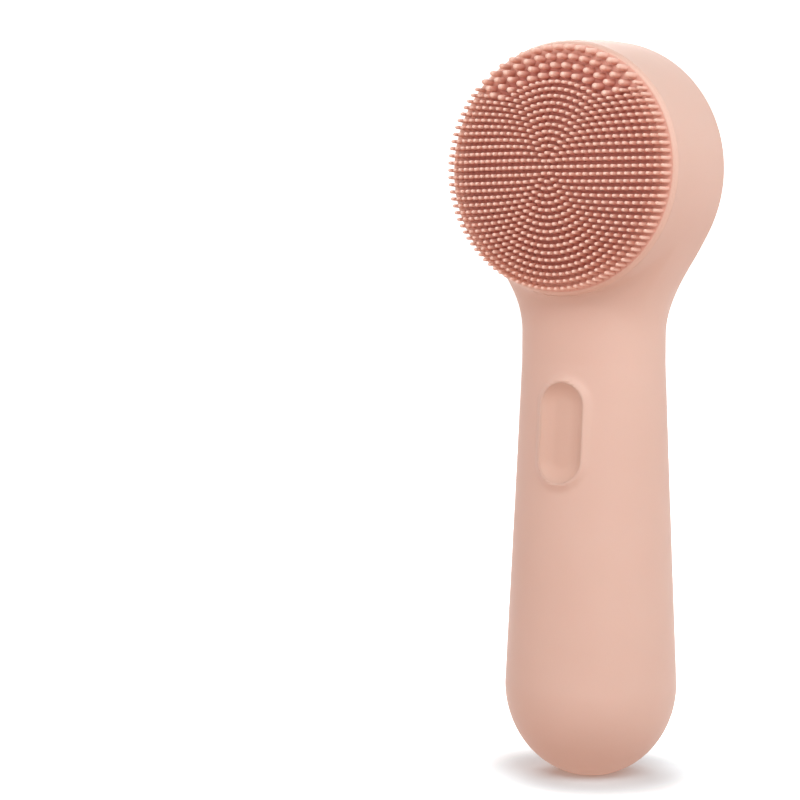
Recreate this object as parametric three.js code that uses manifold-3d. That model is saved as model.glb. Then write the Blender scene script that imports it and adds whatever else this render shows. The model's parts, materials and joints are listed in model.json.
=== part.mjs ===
// A facial cleansing brush: a silicone-skinned handle and round head, with a field of soft
// nubs on the front of the head, massage ridges on its back, a push button, a charging flap,
// and the battery, boards and vibration motor inside.
// Millimetres. +Z runs up the handle from the centre of the small flat it stands on, the
// nubs and the button face -Y, and the ridges and the charging flap face +Y.
import * as THREE from "three";
import { mergeVertices } from "three/addons/utils/BufferGeometryUtils.js";
import Module from "manifold-3d";

const wasm = await Module();
wasm.setup();

// ---- driving dimensions ----------------------------------------------------------------

// Handle
const footHalfWidth = 19.4;
const footHalfDepth = 19.3;
const footHeight = 21; // half the height of the egg-shaped lower end
const standRadius = 5; // the flat that the brush stands on
const waistZ = 93;
const waistHalfWidth = 16.65;
const waistHalfDepth = 13.9;
const handleTopDrop = 19.8; // the handle's own form rounds off from here below headZ
const handleTopHeight = 14;

// Head, a barrel whose axis runs front to back
const headZ = 135.8;
const headRadius = 29.2;
const headWidestY = 4.5;
const headBackDepth = 8.9; // from the widest ring to the middle of the back
const rimY = -16; // front edge of the head
const rimRadius = 27.6;
const neckBlend = 10.5; // how softly the head runs into the handle at the sides and back
const chinBlend = 1.8; // the same, right under the front rim
const chinBlendY = -15;
const neckBlendY = -6;

// Skin, shells and the gaps between them
const gap = 0.3;
const skinWall = 2.4;
const shellWall = 1.7;
const gasketThickness = 1;

// Nub pad
const padRimThickness = 1.1;
const padCrown = 3.4;
const padEdgeRound = 0.9;
const nubLength = 3.9;
const nubRootRadius = 0.9;
const nubTipRadius = 0.6;
const nubRings = 4;
const nubRingPitch = 6.2;

// Massage ridges on the back of the head
const scoopCount = 5;
const scoopPitch = 7.2;
const lowestCrestDrop = 18.1; // the lowest crest's distance below headZ
const scoopDepth = 1.3;

// Push button and its switch
const buttonZ = 77.9;
const buttonWidth = 10.4;
const buttonHeight = 22.3;
const lipWidth = 13.4;
const lipHeight = 24.5;
const lipRise = 0.5;
const buttonSink = 0.4;
const buttonWall = 1.4;
const actuatorRadius = 2.5;
const actuatorPlay = 0.4; // all round it in the front shell
const stemRadius = 1.5;
const switchSide = 6;
const switchHeight = 2.4;
const stemShow = 0.5;
const stemLength = 1.3;
const switchFloor = 0.7;

// Gloss panel and charging flap on the back of the handle
const windowWidth = 22.8;
const windowLowZ = 15.1;
const windowHighZ = 68.5;
const flapSeamZ = 30;
const panelSink = 0.1;
const notchWidth = 10.5;
const notchHeight = 2.2;
const notchDepth = 1.2;
const plugWidth = 9;
const plugHeight = 3.2;
const plugLength = 1.1;

// Charging socket and its board
const socketWidth = 8.9;
const socketHeight = 3.3;
const socketLength = 6.6;
const socketWall = 0.35;
const socketZ = 22.3;
const socketRecess = 1.1; // the socket's mouth lies this far below the rear shell's surface
const tongueWidth = 6.6;
const tongueHeight = 0.7;
const tongueRecess = 0.9;
const socketSealWall = 1;
const chargePostRadius = 1.8;
const chargeBoardWidth = 14;
const chargeBoardHeight = 13.4;
const boardThickness = 1.2;

// Battery and its tray
const cellRadius = 7;
const cellLength = 39;
const cellLowZ = 34;
const cellY = 3.2;
const cellCapRadius = 2.6;
const cellCapHeight = 1;
const trayWall = 1.2;
const trayHighZ = 98;
const trayWindowHeight = 10; // the leads reach the main board through this window
const trayWindowWidth = 6.8;
const foamThickness = 0.5;
const foamWidth = 6;
const foamLowGap = 4; // bare cell below the foam strip
const foamHighGap = 8;

// Main board
const mainBoardWidth = 13;
const mainBoardLowZ = 36;
const mainBoardHighZ = 96;
const mainBoardGap = 0.5;
const chipSide = 5;
const chipHeight = 1;
const chipZ = 60;
const ledSide = 1.6;
const ledHeight = 0.8;
const ledZ = 68;
const plugBlockWidth = 7;
const plugBlockHeight = 3.5;
const plugBlockDepth = 1.6;
const plugBlockZ = 87.5;
const boardScrewInset = 3.5; // from the main board's ends

// Motor
const motorRadius = 6;
const motorLength = 18;
const motorDrop = 20.8; // the motor's lower end lies this far below headZ
const motorY = -1;
const motorCapLength = 2;
const bootWall = 1.5;
const bootLength = 13;
const bracketWall = 1.2;
const bracketLength = 8;
const bracketEar = 5;
const shaftRadius = 1;
const shaftLength = 9;
const shaftSunk = 3;
const weightRadius = 5.5;
const weightLength = 5;
const weightHubWall = 1;
const weightGap = 1; // from the motor's end

// Screws
const screwRadius = 0.9;
const screwHeadRadius = 1.8;
const screwHeadHeight = 1.2;
const bossRadius = 2.7;
const shellScrewLength = 9;
const smallScrewLength = 4;
const boardScrewLength = 2.6;
const pilotSpare = 1; // a pilot hole runs this far past its screw

// Wires
const wireRadius = 0.6;

// ---- the outer form --------------------------------------------------------------------

const footCentreZ = footHeight * Math.sqrt(1 - (standRadius / footHalfWidth) ** 2);
const handleTopZ = headZ - handleTopDrop;
const lowestCrestZ = headZ - lowestCrestDrop;
const motorLowZ = headZ - motorDrop;
const blindY = rimY - 10; // the head's form runs on past its rim, so that trims come out clean
const padBackY = rimY + padRimThickness;
const skinFrontY = padBackY + gap;
const shellFrontInsideY = skinFrontY + shellWall;

function clamp01(t) {
  return Math.min(Math.max(t, 0), 1);
}

function mix(a, b, t) {
  return a + (b - a) * t;
}

function smoothStep(t) {
  const s = clamp01(t);
  return s * s * (3 - 2 * s);
}

// Half-width and half-depth of the handle at a height.
function handleSection(z) {
  const t = clamp01((z - footCentreZ) / (waistZ - footCentreZ));
  return [
    mix(footHalfWidth, waistHalfWidth, t),
    mix(footHalfDepth, waistHalfDepth, t),
  ];
}

// How far a point lies outside the handle; negative inside.
function handleDistance(x, y, z) {
  const [width, depth] = handleSection(z);
  const endHeight = z < footCentreZ ? footHeight : handleTopHeight;
  const beyond = Math.max(footCentreZ - z, z - handleTopZ, 0) / endHeight;
  const ratio = Math.hypot(x / width, y / depth, beyond);
  const slope = Math.hypot(x / width ** 2, y / depth ** 2, beyond / endHeight);
  return slope < 1e-6 ? -depth : ((ratio - 1) * ratio) / slope;
}

// Radius of the head's side wall, which narrows a little towards the front.
function wallRadius(y) {
  const t = (headWidestY - y) / (headWidestY - rimY);
  return headRadius - (headRadius - rimRadius) * t * t;
}

// How far a point lies outside the head; negative inside.
function headDistance(x, y, z) {
  const radius = Math.hypot(x, z - headZ);
  if (y <= headWidestY) return Math.max(radius - wallRadius(y), blindY - y);
  const back = (y - headWidestY) / headBackDepth;
  const out = radius / headRadius;
  const ratio = Math.hypot(back, out);
  const slope = Math.hypot(back / headBackDepth, out / headRadius);
  return ((ratio - 1) * ratio) / slope;
}

// Head and handle run into each other through a soft fillet, tight under the front rim.
function brushDistance(x, y, z) {
  const handle = handleDistance(x, y, z);
  const head = headDistance(x, y, z);
  const t = smoothStep((y - chinBlendY) / (neckBlendY - chinBlendY));
  const blend = mix(chinBlend, neckBlend, t);
  const near = Math.max(blend - Math.abs(handle - head), 0) / blend;
  return Math.min(handle, head) - (near * near * blend) / 4;
}

// Walks from a point inside the brush along a direction to the skin, inset by some depth.
function reachSkin(origin, direction, inset) {
  const outside = (t) => {
    const p = direction.clone().multiplyScalar(t).add(origin);
    return brushDistance(p.x, p.y, p.z) + inset > 0;
  };
  const stride = 0.5;
  let far = stride;
  while (!outside(far)) far += stride;
  let near = far - stride;
  for (let i = 0; i < 24; i++) {
    const middle = (near + far) / 2;
    if (outside(middle)) far = middle;
    else near = middle;
  }
  return direction.clone().multiplyScalar(near).add(origin);
}

// y of the brush's front (side -1) or back (side 1) on the middle plane, at an inset.
function faceY(z, side, inset = 0) {
  const origin = new THREE.Vector3(0, 0, z);
  return reachSkin(origin, new THREE.Vector3(0, side, 0), inset).y;
}

// ---- solids ----------------------------------------------------------------------------

function solidOf(geometry) {
  const bare = new THREE.BufferGeometry();
  bare.setAttribute("position", geometry.getAttribute("position"));
  bare.setIndex(geometry.getIndex());
  const merged = mergeVertices(bare, 1e-4);
  return new wasm.Manifold(
    new wasm.Mesh({
      numProp: 3,
      vertProperties: merged.attributes.position.array,
      triVerts: new Uint32Array(merged.index.array),
    }),
  );
}

function geometryOf(solid) {
  const mesh = solid.getMesh();
  const geometry = new THREE.BufferGeometry();
  geometry.setAttribute("position", new THREE.BufferAttribute(mesh.vertProperties, 3));
  geometry.setIndex(new THREE.BufferAttribute(mesh.triVerts, 1));
  const flat = geometry.toNonIndexed();
  flat.computeVertexNormals();
  return flat;
}

// Down from the foot's centre to just past the edge of the flat.
const flatLift = Math.atan2(footCentreZ + gap, standRadius);

// The brush's closed outer form, inset by some depth: rings of points from foot to crown.
function formSolid(inset, around, rows) {
  const rings = [];
  const ring = (z, lift) => {
    const origin = new THREE.Vector3(0, 0, z);
    const points = [];
    for (let i = 0; i < around; i++) {
      const turn = (2 * Math.PI * i) / around;
      const out = Math.cos(lift);
      const direction = new THREE.Vector3(
        Math.cos(turn) * out,
        Math.sin(turn) * out,
        Math.sin(lift),
      );
      points.push(reachSkin(origin, direction, inset));
    }
    rings.push(points);
  };
  for (let i = 0; i < rows.foot; i++) ring(footCentreZ, (i / rows.foot - 1) * flatLift);
  for (let i = 0; i < rows.handle; i++) ring(mix(footCentreZ, waistZ, i / rows.handle), 0);
  for (let i = 0; i < rows.neck; i++) ring(mix(waistZ, headZ, i / rows.neck), 0);
  for (let i = 0; i < rows.crown; i++) ring(headZ, (i / rows.crown) * (Math.PI / 2));
  const points = rings.flat();
  const foot = points.length;
  const footPoint = reachSkin(
    new THREE.Vector3(0, 0, footCentreZ),
    new THREE.Vector3(0, 0, -1),
    inset,
  );
  const crownPoint = reachSkin(
    new THREE.Vector3(0, 0, headZ),
    new THREE.Vector3(0, 0, 1),
    inset,
  );
  points.push(footPoint, crownPoint);
  const index = [];
  const last = (rings.length - 1) * around;
  for (let i = 0; i < around; i++) {
    const next = (i + 1) % around;
    index.push(foot, next, i, foot + 1, last + i, last + next);
    for (let r = 0; r + 1 < rings.length; r++) {
      const low = r * around;
      const high = low + around;
      index.push(low + i, low + next, high + next, low + i, high + next, high + i);
    }
  }
  const geometry = new THREE.BufferGeometry().setFromPoints(points);
  geometry.setIndex(index);
  return solidOf(geometry);
}

const fineRows = { foot: 5, handle: 5, neck: 14, crown: 8 };
const plainRows = { foot: 3, handle: 2, neck: 9, crown: 5 };
const fineForm = (inset) => formSolid(inset, 36, fineRows);
const plainForm = (inset) => formSolid(inset, 20, plainRows);

// A flat outline in x and z, drawn out along Y.
function alongY(shape, fromY, toY, curveSegments = 8) {
  const geometry = new THREE.ExtrudeGeometry(shape, {
    depth: toY - fromY,
    bevelEnabled: false,
    curveSegments,
  });
  return solidOf(geometry.rotateX(Math.PI / 2).translate(0, toY, 0));
}

// A flat outline in x and y, drawn out along Z.
function alongZ(shape, fromZ, toZ, curveSegments = 8) {
  const geometry = new THREE.ExtrudeGeometry(shape, {
    depth: toZ - fromZ,
    bevelEnabled: false,
    curveSegments,
  });
  return solidOf(geometry.translate(0, 0, fromZ));
}

function block(lowX, highX, lowY, highY, lowZ, highZ) {
  const geometry = new THREE.BoxGeometry(highX - lowX, highY - lowY, highZ - lowZ);
  geometry.translate((lowX + highX) / 2, (lowY + highY) / 2, (lowZ + highZ) / 2);
  return solidOf(geometry);
}

function rodAlongY(radius, x, z, fromY, toY, sides = 8) {
  const geometry = new THREE.CylinderGeometry(radius, radius, toY - fromY, sides);
  return solidOf(geometry.translate(x, (fromY + toY) / 2, z));
}

function rodAlongZ(radius, x, y, fromZ, toZ, sides = 16) {
  const geometry = new THREE.CylinderGeometry(radius, radius, toZ - fromZ, sides);
  return solidOf(geometry.rotateX(Math.PI / 2).translate(x, y, (fromZ + toZ) / 2));
}

// A slot outline: straight sides and half-round ends, standing up or lying down.
function stadium(width, height, centreX, centreZ) {
  const shape = new THREE.Shape();
  if (height >= width) {
    const r = width / 2;
    const reach = height / 2 - r;
    shape.absarc(centreX, centreZ + reach, r, 0, Math.PI, false);
    shape.absarc(centreX, centreZ - reach, r, Math.PI, 2 * Math.PI, false);
  } else {
    const r = height / 2;
    const reach = width / 2 - r;
    shape.absarc(centreX + reach, centreZ, r, -Math.PI / 2, Math.PI / 2, false);
    shape.absarc(centreX - reach, centreZ, r, Math.PI / 2, 1.5 * Math.PI, false);
  }
  return shape;
}

const reachY = headRadius + headRadius; // long enough to pass right through the brush
const everything = 2 * (headZ + headRadius);

// ---- forms that several pieces share ---------------------------------------------------

const skinForm = fineForm(0);
const cavityForm = plainForm(skinWall);
const shellForm = plainForm(skinWall + gap);
const hollowForm = plainForm(skinWall + gap + shellWall);

// The head in front of a plane; the handle below it is left whole.
function headInFrontOf(y) {
  const chinZ = headZ - rimRadius - neckBlend / 2;
  return block(-everything, everything, -everything, y, chinZ, everything);
}

function inFrontOf(y) {
  return block(-everything, everything, -everything, y, -everything, everything);
}

function behind(y) {
  return block(-everything, everything, y, everything, -everything, everything);
}

// Faces in the handle that the inner pieces are placed from.
const skinFaceY = faceY(buttonZ, -1);
const shellFaceInsideY = faceY(buttonZ, -1, skinWall + gap + shellWall);
const trayFrontY = cellY - cellRadius - gap - trayWall;
const boardBackY = trayFrontY - mainBoardGap;
const boardFrontY = boardBackY - boardThickness;
const boardMiddleY = (boardFrontY + boardBackY) / 2;
const switchBackY = boardFrontY - gap;
const switchFrontY = switchBackY - switchHeight;
const stemFrontY = switchFrontY - stemShow;
const actuatorBackY = stemFrontY - gap;
const buttonBackInset = buttonSink + buttonWall;
const actuatorFrontY = skinFaceY + buttonBackInset + gap;
const shellBackY = faceY(socketZ, 1, skinWall + gap);
const socketMouthY = shellBackY - socketRecess;
const socketBackY = socketMouthY - socketLength;
const chargeBoardBackY = socketBackY - gap;
const chargeBoardFrontY = chargeBoardBackY - boardThickness;
const motorHighZ = motorLowZ + motorLength;
const cellHighZ = cellLowZ + cellLength;

// ---- the silicone skin -----------------------------------------------------------------

const lipOutline = () => stadium(lipWidth, lipHeight, 0, buttonZ);
const buttonOutline = (shrink) =>
  stadium(buttonWidth - 2 * shrink, buttonHeight - 2 * shrink, 0, buttonZ);

function windowOutline() {
  const height = windowHighZ - windowLowZ;
  return stadium(windowWidth, height, 0, (windowLowZ + windowHighZ) / 2);
}

// One long round cutter across the back of the head; neighbours meet in a sharp crest.
function scoopCutter(index) {
  const half = scoopPitch / 2;
  const z = lowestCrestZ + scoopPitch * index + half;
  const radius = (half * half + scoopDepth * scoopDepth) / (2 * scoopDepth);
  const geometry = new THREE.CylinderGeometry(radius, radius, 3 * headRadius, 20);
  geometry.rotateZ(Math.PI / 2);
  geometry.translate(0, faceY(z, 1) - scoopDepth + radius, z);
  return solidOf(geometry);
}

function outerSkin() {
  const lip = alongY(lipOutline(), -reachY, 0).intersect(fineForm(-lipRise));
  let skin = skinForm.add(lip);
  for (let i = 0; i < scoopCount; i++) skin = skin.subtract(scoopCutter(i));
  skin = skin.subtract(cavityForm);
  skin = skin.subtract(headInFrontOf(skinFrontY));
  skin = skin.subtract(block(-reachY, reachY, -reachY, reachY, -reachY, 0));
  skin = skin.subtract(alongY(buttonOutline(0), -reachY, 0));
  return skin.subtract(alongY(windowOutline(), 0, reachY));
}

// ---- the nub pad -----------------------------------------------------------------------

// y of the pad's domed face at a distance from its axis.
function padFaceY(radius) {
  const edge = rimRadius - padEdgeRound;
  return rimY - padCrown * (1 - (radius / edge) ** 2);
}

function nub(x, z) {
  const root = padFaceY(Math.hypot(x, z)) + nubRootRadius;
  const tip = root - nubRootRadius - nubLength;
  const geometry = new THREE.CylinderGeometry(nubRootRadius, nubTipRadius, root - tip, 5);
  return solidOf(geometry.translate(x, (root + tip) / 2, headZ + z));
}

function nubPad() {
  const profile = [new THREE.Vector2(0, padBackY)];
  profile.push(new THREE.Vector2(wallRadius(padBackY), padBackY));
  const steps = 5;
  const edge = rimRadius - padEdgeRound;
  for (let i = 0; i < steps; i++) {
    const radius = edge * (1 - i / steps);
    profile.push(new THREE.Vector2(radius, padFaceY(radius)));
  }
  profile.push(new THREE.Vector2(0, padFaceY(0)));
  const dome = new THREE.LatheGeometry(profile.reverse(), 32);
  let pad = solidOf(dome.translate(0, 0, headZ)).add(nub(0, 0));
  for (let ring = 1; ring <= nubRings; ring++) {
    const count = 6 * ring;
    for (let i = 0; i < count; i++) {
      const turn = (2 * Math.PI * i) / count;
      const radius = ring * nubRingPitch;
      pad = pad.add(nub(radius * Math.cos(turn), radius * Math.sin(turn)));
    }
  }
  return pad;
}

// ---- shells and gasket -----------------------------------------------------------------

const headScrewX = 17;
const headScrewRise = 12;
const handleScrewX = 10.4;
const handleScrewZ = 24;
const shellScrewSpots = [
  [headScrewX, headZ + headScrewRise],
  [-headScrewX, headZ + headScrewRise],
  [headScrewX, headZ - headScrewRise],
  [-headScrewX, headZ - headScrewRise],
  [handleScrewX, handleScrewZ],
  [-handleScrewX, handleScrewZ],
];
const screwSeatY = 4; // the heads of the shell screws bear here, deep in the rear shell
const bracketEarX = motorRadius + bootWall + 2 * gap + bracketWall + bracketEar / 2;
const bracketZ = motorLowZ + motorLength / 2;
const chargePostX = 5.2;
const chargePostZ = 27;
const earBackY = motorY + bracketWall;

const shellBody = shellForm
  .subtract(headInFrontOf(skinFrontY))
  .subtract(hollowForm.subtract(headInFrontOf(shellFrontInsideY)));
const splitY = gasketThickness / 2 + gap;

// A post that grows from a shell's wall; whatever passes the wall's outer face is trimmed.
function post(radius, x, z, fromY, toY) {
  return rodAlongY(radius, x, z, fromY, toY)
    .intersect(shellForm)
    .subtract(headInFrontOf(skinFrontY));
}

// What the shells are relieved by where the battery, its foam, the board or the switch would
// come closer to their walls than the gap.
function innerClearance() {
  const cell = rodAlongZ(cellRadius + gap, 0, cellY, cellLowZ, cellHighZ, 24);
  const tray = rodAlongZ(cellRadius + 2 * gap + trayWall, 0, cellY, cellLowZ, cellHighZ, 24);
  const foamHalf = foamWidth / 2 + gap;
  const foamBackY = cellY + cellRadius + 2 * gap + foamThickness;
  const foamLowZ = cellLowZ + foamLowGap;
  const foamHighZ = cellHighZ - foamHighGap;
  const foam = block(-foamHalf, foamHalf, 0, foamBackY, foamLowZ - gap, foamHighZ + gap);
  const half = mainBoardWidth / 2 + gap;
  const lowZ = mainBoardLowZ - gap;
  const board = block(-half, half, boardFrontY - gap, trayFrontY, lowZ, mainBoardHighZ + gap);
  const side = switchSide / 2 + gap;
  const front = switchFrontY - gap;
  const pocket = block(-side, side, front, switchBackY, buttonZ - side, buttonZ + side);
  let clear = cell.add(tray.subtract(behind(cellY))).add(foam).add(board).add(pocket);
  for (const size of Object.values(boardParts)) clear = clear.add(onBoard(size, gap));
  const headFrontY = boardFrontY - 2 * gap - screwHeadHeight;
  for (const [x, z] of trayScrewSpots)
    clear = clear.add(rodAlongY(screwHeadRadius + gap, x, z, headFrontY, boardFrontY));
  return clear;
}

function frontShell() {
  let shell = shellBody.subtract(behind(-splitY)).subtract(innerClearance());
  for (const [x, z] of shellScrewSpots) {
    const pilotEndY = screwSeatY - shellScrewLength - pilotSpare;
    shell = shell.add(post(bossRadius, x, z, -reachY, -splitY));
    shell = shell.subtract(rodAlongY(screwRadius + gap, x, z, pilotEndY, reachY));
  }
  for (const side of [-1, 1]) {
    const x = side * bracketEarX;
    const topY = motorY - gap;
    shell = shell.add(post(bossRadius, x, bracketZ, -reachY, topY));
    const pilotEndY = earBackY - smallScrewLength - pilotSpare;
    shell = shell.subtract(rodAlongY(screwRadius + gap, x, bracketZ, pilotEndY, reachY));
  }
  const hole = actuatorRadius + actuatorPlay;
  return shell.subtract(rodAlongY(hole, 0, buttonZ, -reachY, 0, 20));
}

function socketOutline(grow) {
  return stadium(socketWidth + 2 * grow, socketHeight + 2 * grow, 0, socketZ);
}

function rearShell() {
  let shell = shellBody.intersect(behind(splitY)).subtract(innerClearance());
  for (const [x, z] of shellScrewSpots) {
    shell = shell.add(post(bossRadius, x, z, splitY, reachY));
    shell = shell.subtract(rodAlongY(screwRadius + gap, x, z, 0, reachY));
    shell = shell.subtract(rodAlongY(screwHeadRadius + gap, x, z, screwSeatY, reachY));
  }
  for (const side of [-1, 1]) {
    const x = side * chargePostX;
    shell = shell.add(post(chargePostRadius, x, chargePostZ, chargeBoardBackY + gap, reachY));
    const pilotEndY = chargeBoardFrontY + smallScrewLength + pilotSpare / 2;
    shell = shell.subtract(rodAlongY(screwRadius + gap, x, chargePostZ, 0, pilotEndY));
  }
  return shell.subtract(alongY(socketOutline(socketSealWall + 2 * gap), 0, reachY));
}

// The seal squeezed between the two shells, all the way round their rims.
function shellGasket() {
  const half = gasketThickness / 2;
  return shellBody.intersect(behind(-half)).intersect(inFrontOf(half));
}

// ---- button ----------------------------------------------------------------------------

function powerButton() {
  const layer = fineForm(buttonSink).subtract(fineForm(buttonBackInset));
  return alongY(buttonOutline(gap), -reachY, 0).intersect(layer);
}

function buttonActuator() {
  return rodAlongY(actuatorRadius, 0, buttonZ, actuatorFrontY, actuatorBackY, 20);
}

function switchBody() {
  const half = switchSide / 2;
  const body = block(-half, half, switchFrontY, switchBackY, buttonZ - half, buttonZ + half);
  const bore = rodAlongY(stemRadius + gap, 0, buttonZ, -reachY, switchBackY - switchFloor);
  return body.subtract(bore);
}

function switchStem() {
  return rodAlongY(stemRadius, 0, buttonZ, stemFrontY, stemFrontY + stemLength);
}

// ---- panel and flap --------------------------------------------------------------------

const windowHalf = windowWidth / 2 - gap;

function panelOutline() {
  const shape = new THREE.Shape();
  const centreZ = windowHighZ - windowWidth / 2;
  shape.moveTo(-windowHalf, flapSeamZ + gap / 2);
  shape.lineTo(windowHalf, flapSeamZ + gap / 2);
  shape.absarc(0, centreZ, windowHalf, 0, Math.PI, false);
  return shape;
}

function flapOutline() {
  const shape = new THREE.Shape();
  const centreZ = windowLowZ + windowWidth / 2;
  shape.moveTo(windowHalf, flapSeamZ - gap / 2);
  shape.lineTo(-windowHalf, flapSeamZ - gap / 2);
  shape.absarc(0, centreZ, windowHalf, Math.PI, 2 * Math.PI, false);
  return shape;
}

// A finger-nail notch, a slice of a circle, in the panel's edge beside the flap.
function notchOutline() {
  const radius = ((notchWidth / 2) ** 2 + notchHeight ** 2) / (2 * notchHeight);
  const centreZ = flapSeamZ + notchHeight - radius;
  const shape = new THREE.Shape();
  shape.absarc(0, centreZ, radius, 0, 2 * Math.PI, false);
  return shape;
}

function glossPanel() {
  const layer = fineForm(panelSink).subtract(cavityForm);
  const notch = alongY(notchOutline(), 0, reachY, 16).subtract(fineForm(notchDepth));
  return alongY(panelOutline(), 0, reachY).intersect(layer).subtract(notch);
}

function portFlap() {
  const cover = alongY(flapOutline(), 0, reachY).intersect(skinForm.subtract(cavityForm));
  const plugTipY = shellBackY + gap - plugLength;
  const plug = alongY(stadium(plugWidth, plugHeight, 0, socketZ), plugTipY, shellBackY + 1);
  return cover.add(plug);
}

// ---- charging socket -------------------------------------------------------------------

function socketShell() {
  const tube = alongY(socketOutline(0), socketBackY, socketMouthY);
  return tube.subtract(alongY(socketOutline(-socketWall), socketBackY + socketWall, reachY));
}

function socketTongue() {
  const half = tongueWidth / 2;
  const thick = tongueHeight / 2;
  const backY = socketBackY + socketWall + gap;
  return block(-half, half, backY, socketMouthY - tongueRecess, socketZ - thick, socketZ + thick);
}

function socketSeal() {
  const wall = shellForm.subtract(hollowForm);
  const ring = alongY(socketOutline(socketSealWall + gap), 0, reachY).intersect(wall);
  return ring.subtract(alongY(socketOutline(gap), 0, reachY));
}

function chargeBoard() {
  const half = chargeBoardWidth / 2;
  const low = socketZ - chargeBoardHeight / 2;
  const high = low + chargeBoardHeight;
  let board = block(-half, half, chargeBoardFrontY, chargeBoardBackY, low, high);
  for (const side of [-1, 1]) {
    const x = side * chargePostX;
    board = board.subtract(rodAlongY(screwRadius + gap, x, chargePostZ, -reachY, reachY));
  }
  return board;
}

// ---- battery, tray and main board ------------------------------------------------------

const trayScrewX = 4.2;
const trayScrewSpots = [
  [trayScrewX, mainBoardLowZ + boardScrewInset],
  [-trayScrewX, mainBoardHighZ - boardScrewInset],
];

function batteryTray() {
  const inner = cellRadius + gap;
  const outer = inner + trayWall;
  const half = mainBoardWidth / 2;
  const trough = rodAlongZ(outer, 0, cellY, cellLowZ - trayWall, cellHighZ, 24);
  const plate = block(-half, half, trayFrontY, trayFrontY + trayWall, cellLowZ, trayHighZ);
  let tray = trough.subtract(behind(cellY)).add(plate);
  tray = tray.subtract(rodAlongZ(inner, 0, cellY, cellLowZ - gap, cellHighZ + 1, 24));
  const windowZ = cellHighZ + trayWall + trayWindowHeight / 2;
  const low = windowZ - trayWindowHeight / 2;
  const side = trayWindowWidth / 2;
  tray = tray.subtract(block(-side, side, -reachY, reachY, low, low + trayWindowHeight));
  for (const [x, z] of trayScrewSpots)
    tray = tray.subtract(rodAlongY(screwRadius + gap, x, z, -reachY, cellY));
  return tray;
}

function batteryCell() {
  return rodAlongZ(cellRadius, 0, cellY, cellLowZ, cellHighZ, 24);
}

function batteryCap() {
  const low = cellHighZ + gap;
  return rodAlongZ(cellCapRadius, 0, cellY, low, low + cellCapHeight, 12);
}

function batteryFoam() {
  const low = cellLowZ + foamLowGap;
  const high = cellHighZ - foamHighGap;
  const fromY = cellY + cellRadius + gap;
  const half = foamWidth / 2;
  return block(-half, half, fromY, fromY + foamThickness, low, high);
}

function mainBoard() {
  const half = mainBoardWidth / 2;
  let board = block(-half, half, boardFrontY, boardBackY, mainBoardLowZ, mainBoardHighZ);
  for (const [x, z] of trayScrewSpots)
    board = board.subtract(rodAlongY(screwRadius + gap, x, z, -reachY, reachY));
  return board;
}

// Width, height, rise and z of the components that stand on the front of the main board.
const boardParts = {
  control_chip: [chipSide, chipSide, chipHeight, chipZ],
  charge_led: [ledSide, ledSide, ledHeight, ledZ],
  wire_socket: [plugBlockWidth, plugBlockHeight, plugBlockDepth, plugBlockZ],
};

function onBoard([width, height, rise, z], grow = 0) {
  const across = width / 2 + grow;
  const up = height / 2 + grow;
  const backY = boardFrontY - gap;
  return block(-across, across, backY - rise - grow, backY, z - up, z + up);
}

// ---- motor -----------------------------------------------------------------------------

function motorCan() {
  const can = rodAlongZ(motorRadius, 0, motorY, motorLowZ + motorCapLength + gap, motorHighZ, 24);
  const bore = rodAlongZ(shaftRadius + gap, 0, motorY, motorHighZ - shaftSunk, everything);
  return can.subtract(bore);
}

function motorEndCap() {
  return rodAlongZ(motorRadius, 0, motorY, motorLowZ, motorLowZ + motorCapLength, 24);
}

function motorBoot() {
  const low = bracketZ - bootLength / 2;
  const high = low + bootLength;
  const outer = motorRadius + gap + bootWall;
  const ring = rodAlongZ(outer, 0, motorY, low, high, 24);
  return ring.subtract(rodAlongZ(motorRadius + gap, 0, motorY, 0, everything, 24));
}

// A strap over the back of the motor, with an ear at each side for a screw.
function motorBracket() {
  const inner = motorRadius + bootWall + 2 * gap;
  const outer = inner + bracketWall;
  const low = bracketZ - bracketLength / 2;
  const high = low + bracketLength;
  const strap = rodAlongZ(outer, 0, motorY, low, high, 24).intersect(behind(motorY));
  const reach = bracketEarX + bracketEar / 2;
  const ears = block(-reach, reach, motorY, earBackY, low, high);
  let bracket = strap.add(ears).subtract(rodAlongZ(inner, 0, motorY, 0, everything, 24));
  for (const side of [-1, 1]) {
    const x = side * bracketEarX;
    bracket = bracket.subtract(rodAlongY(screwRadius + gap, x, bracketZ, -reachY, reachY));
  }
  return bracket;
}

function motorShaft() {
  const low = motorHighZ - shaftSunk + gap;
  return rodAlongZ(shaftRadius, 0, motorY, low, low + shaftLength, 12);
}

// Half a disc on the shaft, so the rotor is out of balance and the head shakes.
function eccentricWeight() {
  const low = motorHighZ + weightGap;
  const shape = new THREE.Shape();
  shape.absarc(0, 0, weightRadius, 0, Math.PI, false);
  shape.absarc(0, 0, shaftRadius + gap + weightHubWall, Math.PI, 2 * Math.PI, false);
  const half = alongZ(shape, low, low + weightLength).translate([0, motorY, 0]);
  return half.subtract(rodAlongZ(shaftRadius + gap, 0, motorY, 0, everything, 12));
}

// ---- screws and wires ------------------------------------------------------------------

// A pan-head screw along Y. Its head's underside lies at seatY; side 1 points the shank at -Y.
function screw(x, z, seatY, length, side) {
  const profile = [
    new THREE.Vector2(0, -length),
    new THREE.Vector2(screwRadius * 0.5, -length),
    new THREE.Vector2(screwRadius, -length + 1),
    new THREE.Vector2(screwRadius, 0),
    new THREE.Vector2(screwHeadRadius, 0),
    new THREE.Vector2(screwHeadRadius, screwHeadHeight * 0.6),
    new THREE.Vector2(screwHeadRadius * 0.6, screwHeadHeight),
    new THREE.Vector2(0, screwHeadHeight),
  ];
  const geometry = new THREE.LatheGeometry(profile, 8);
  if (side < 0) geometry.rotateX(Math.PI);
  return solidOf(geometry.translate(x, seatY, z));
}

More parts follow.
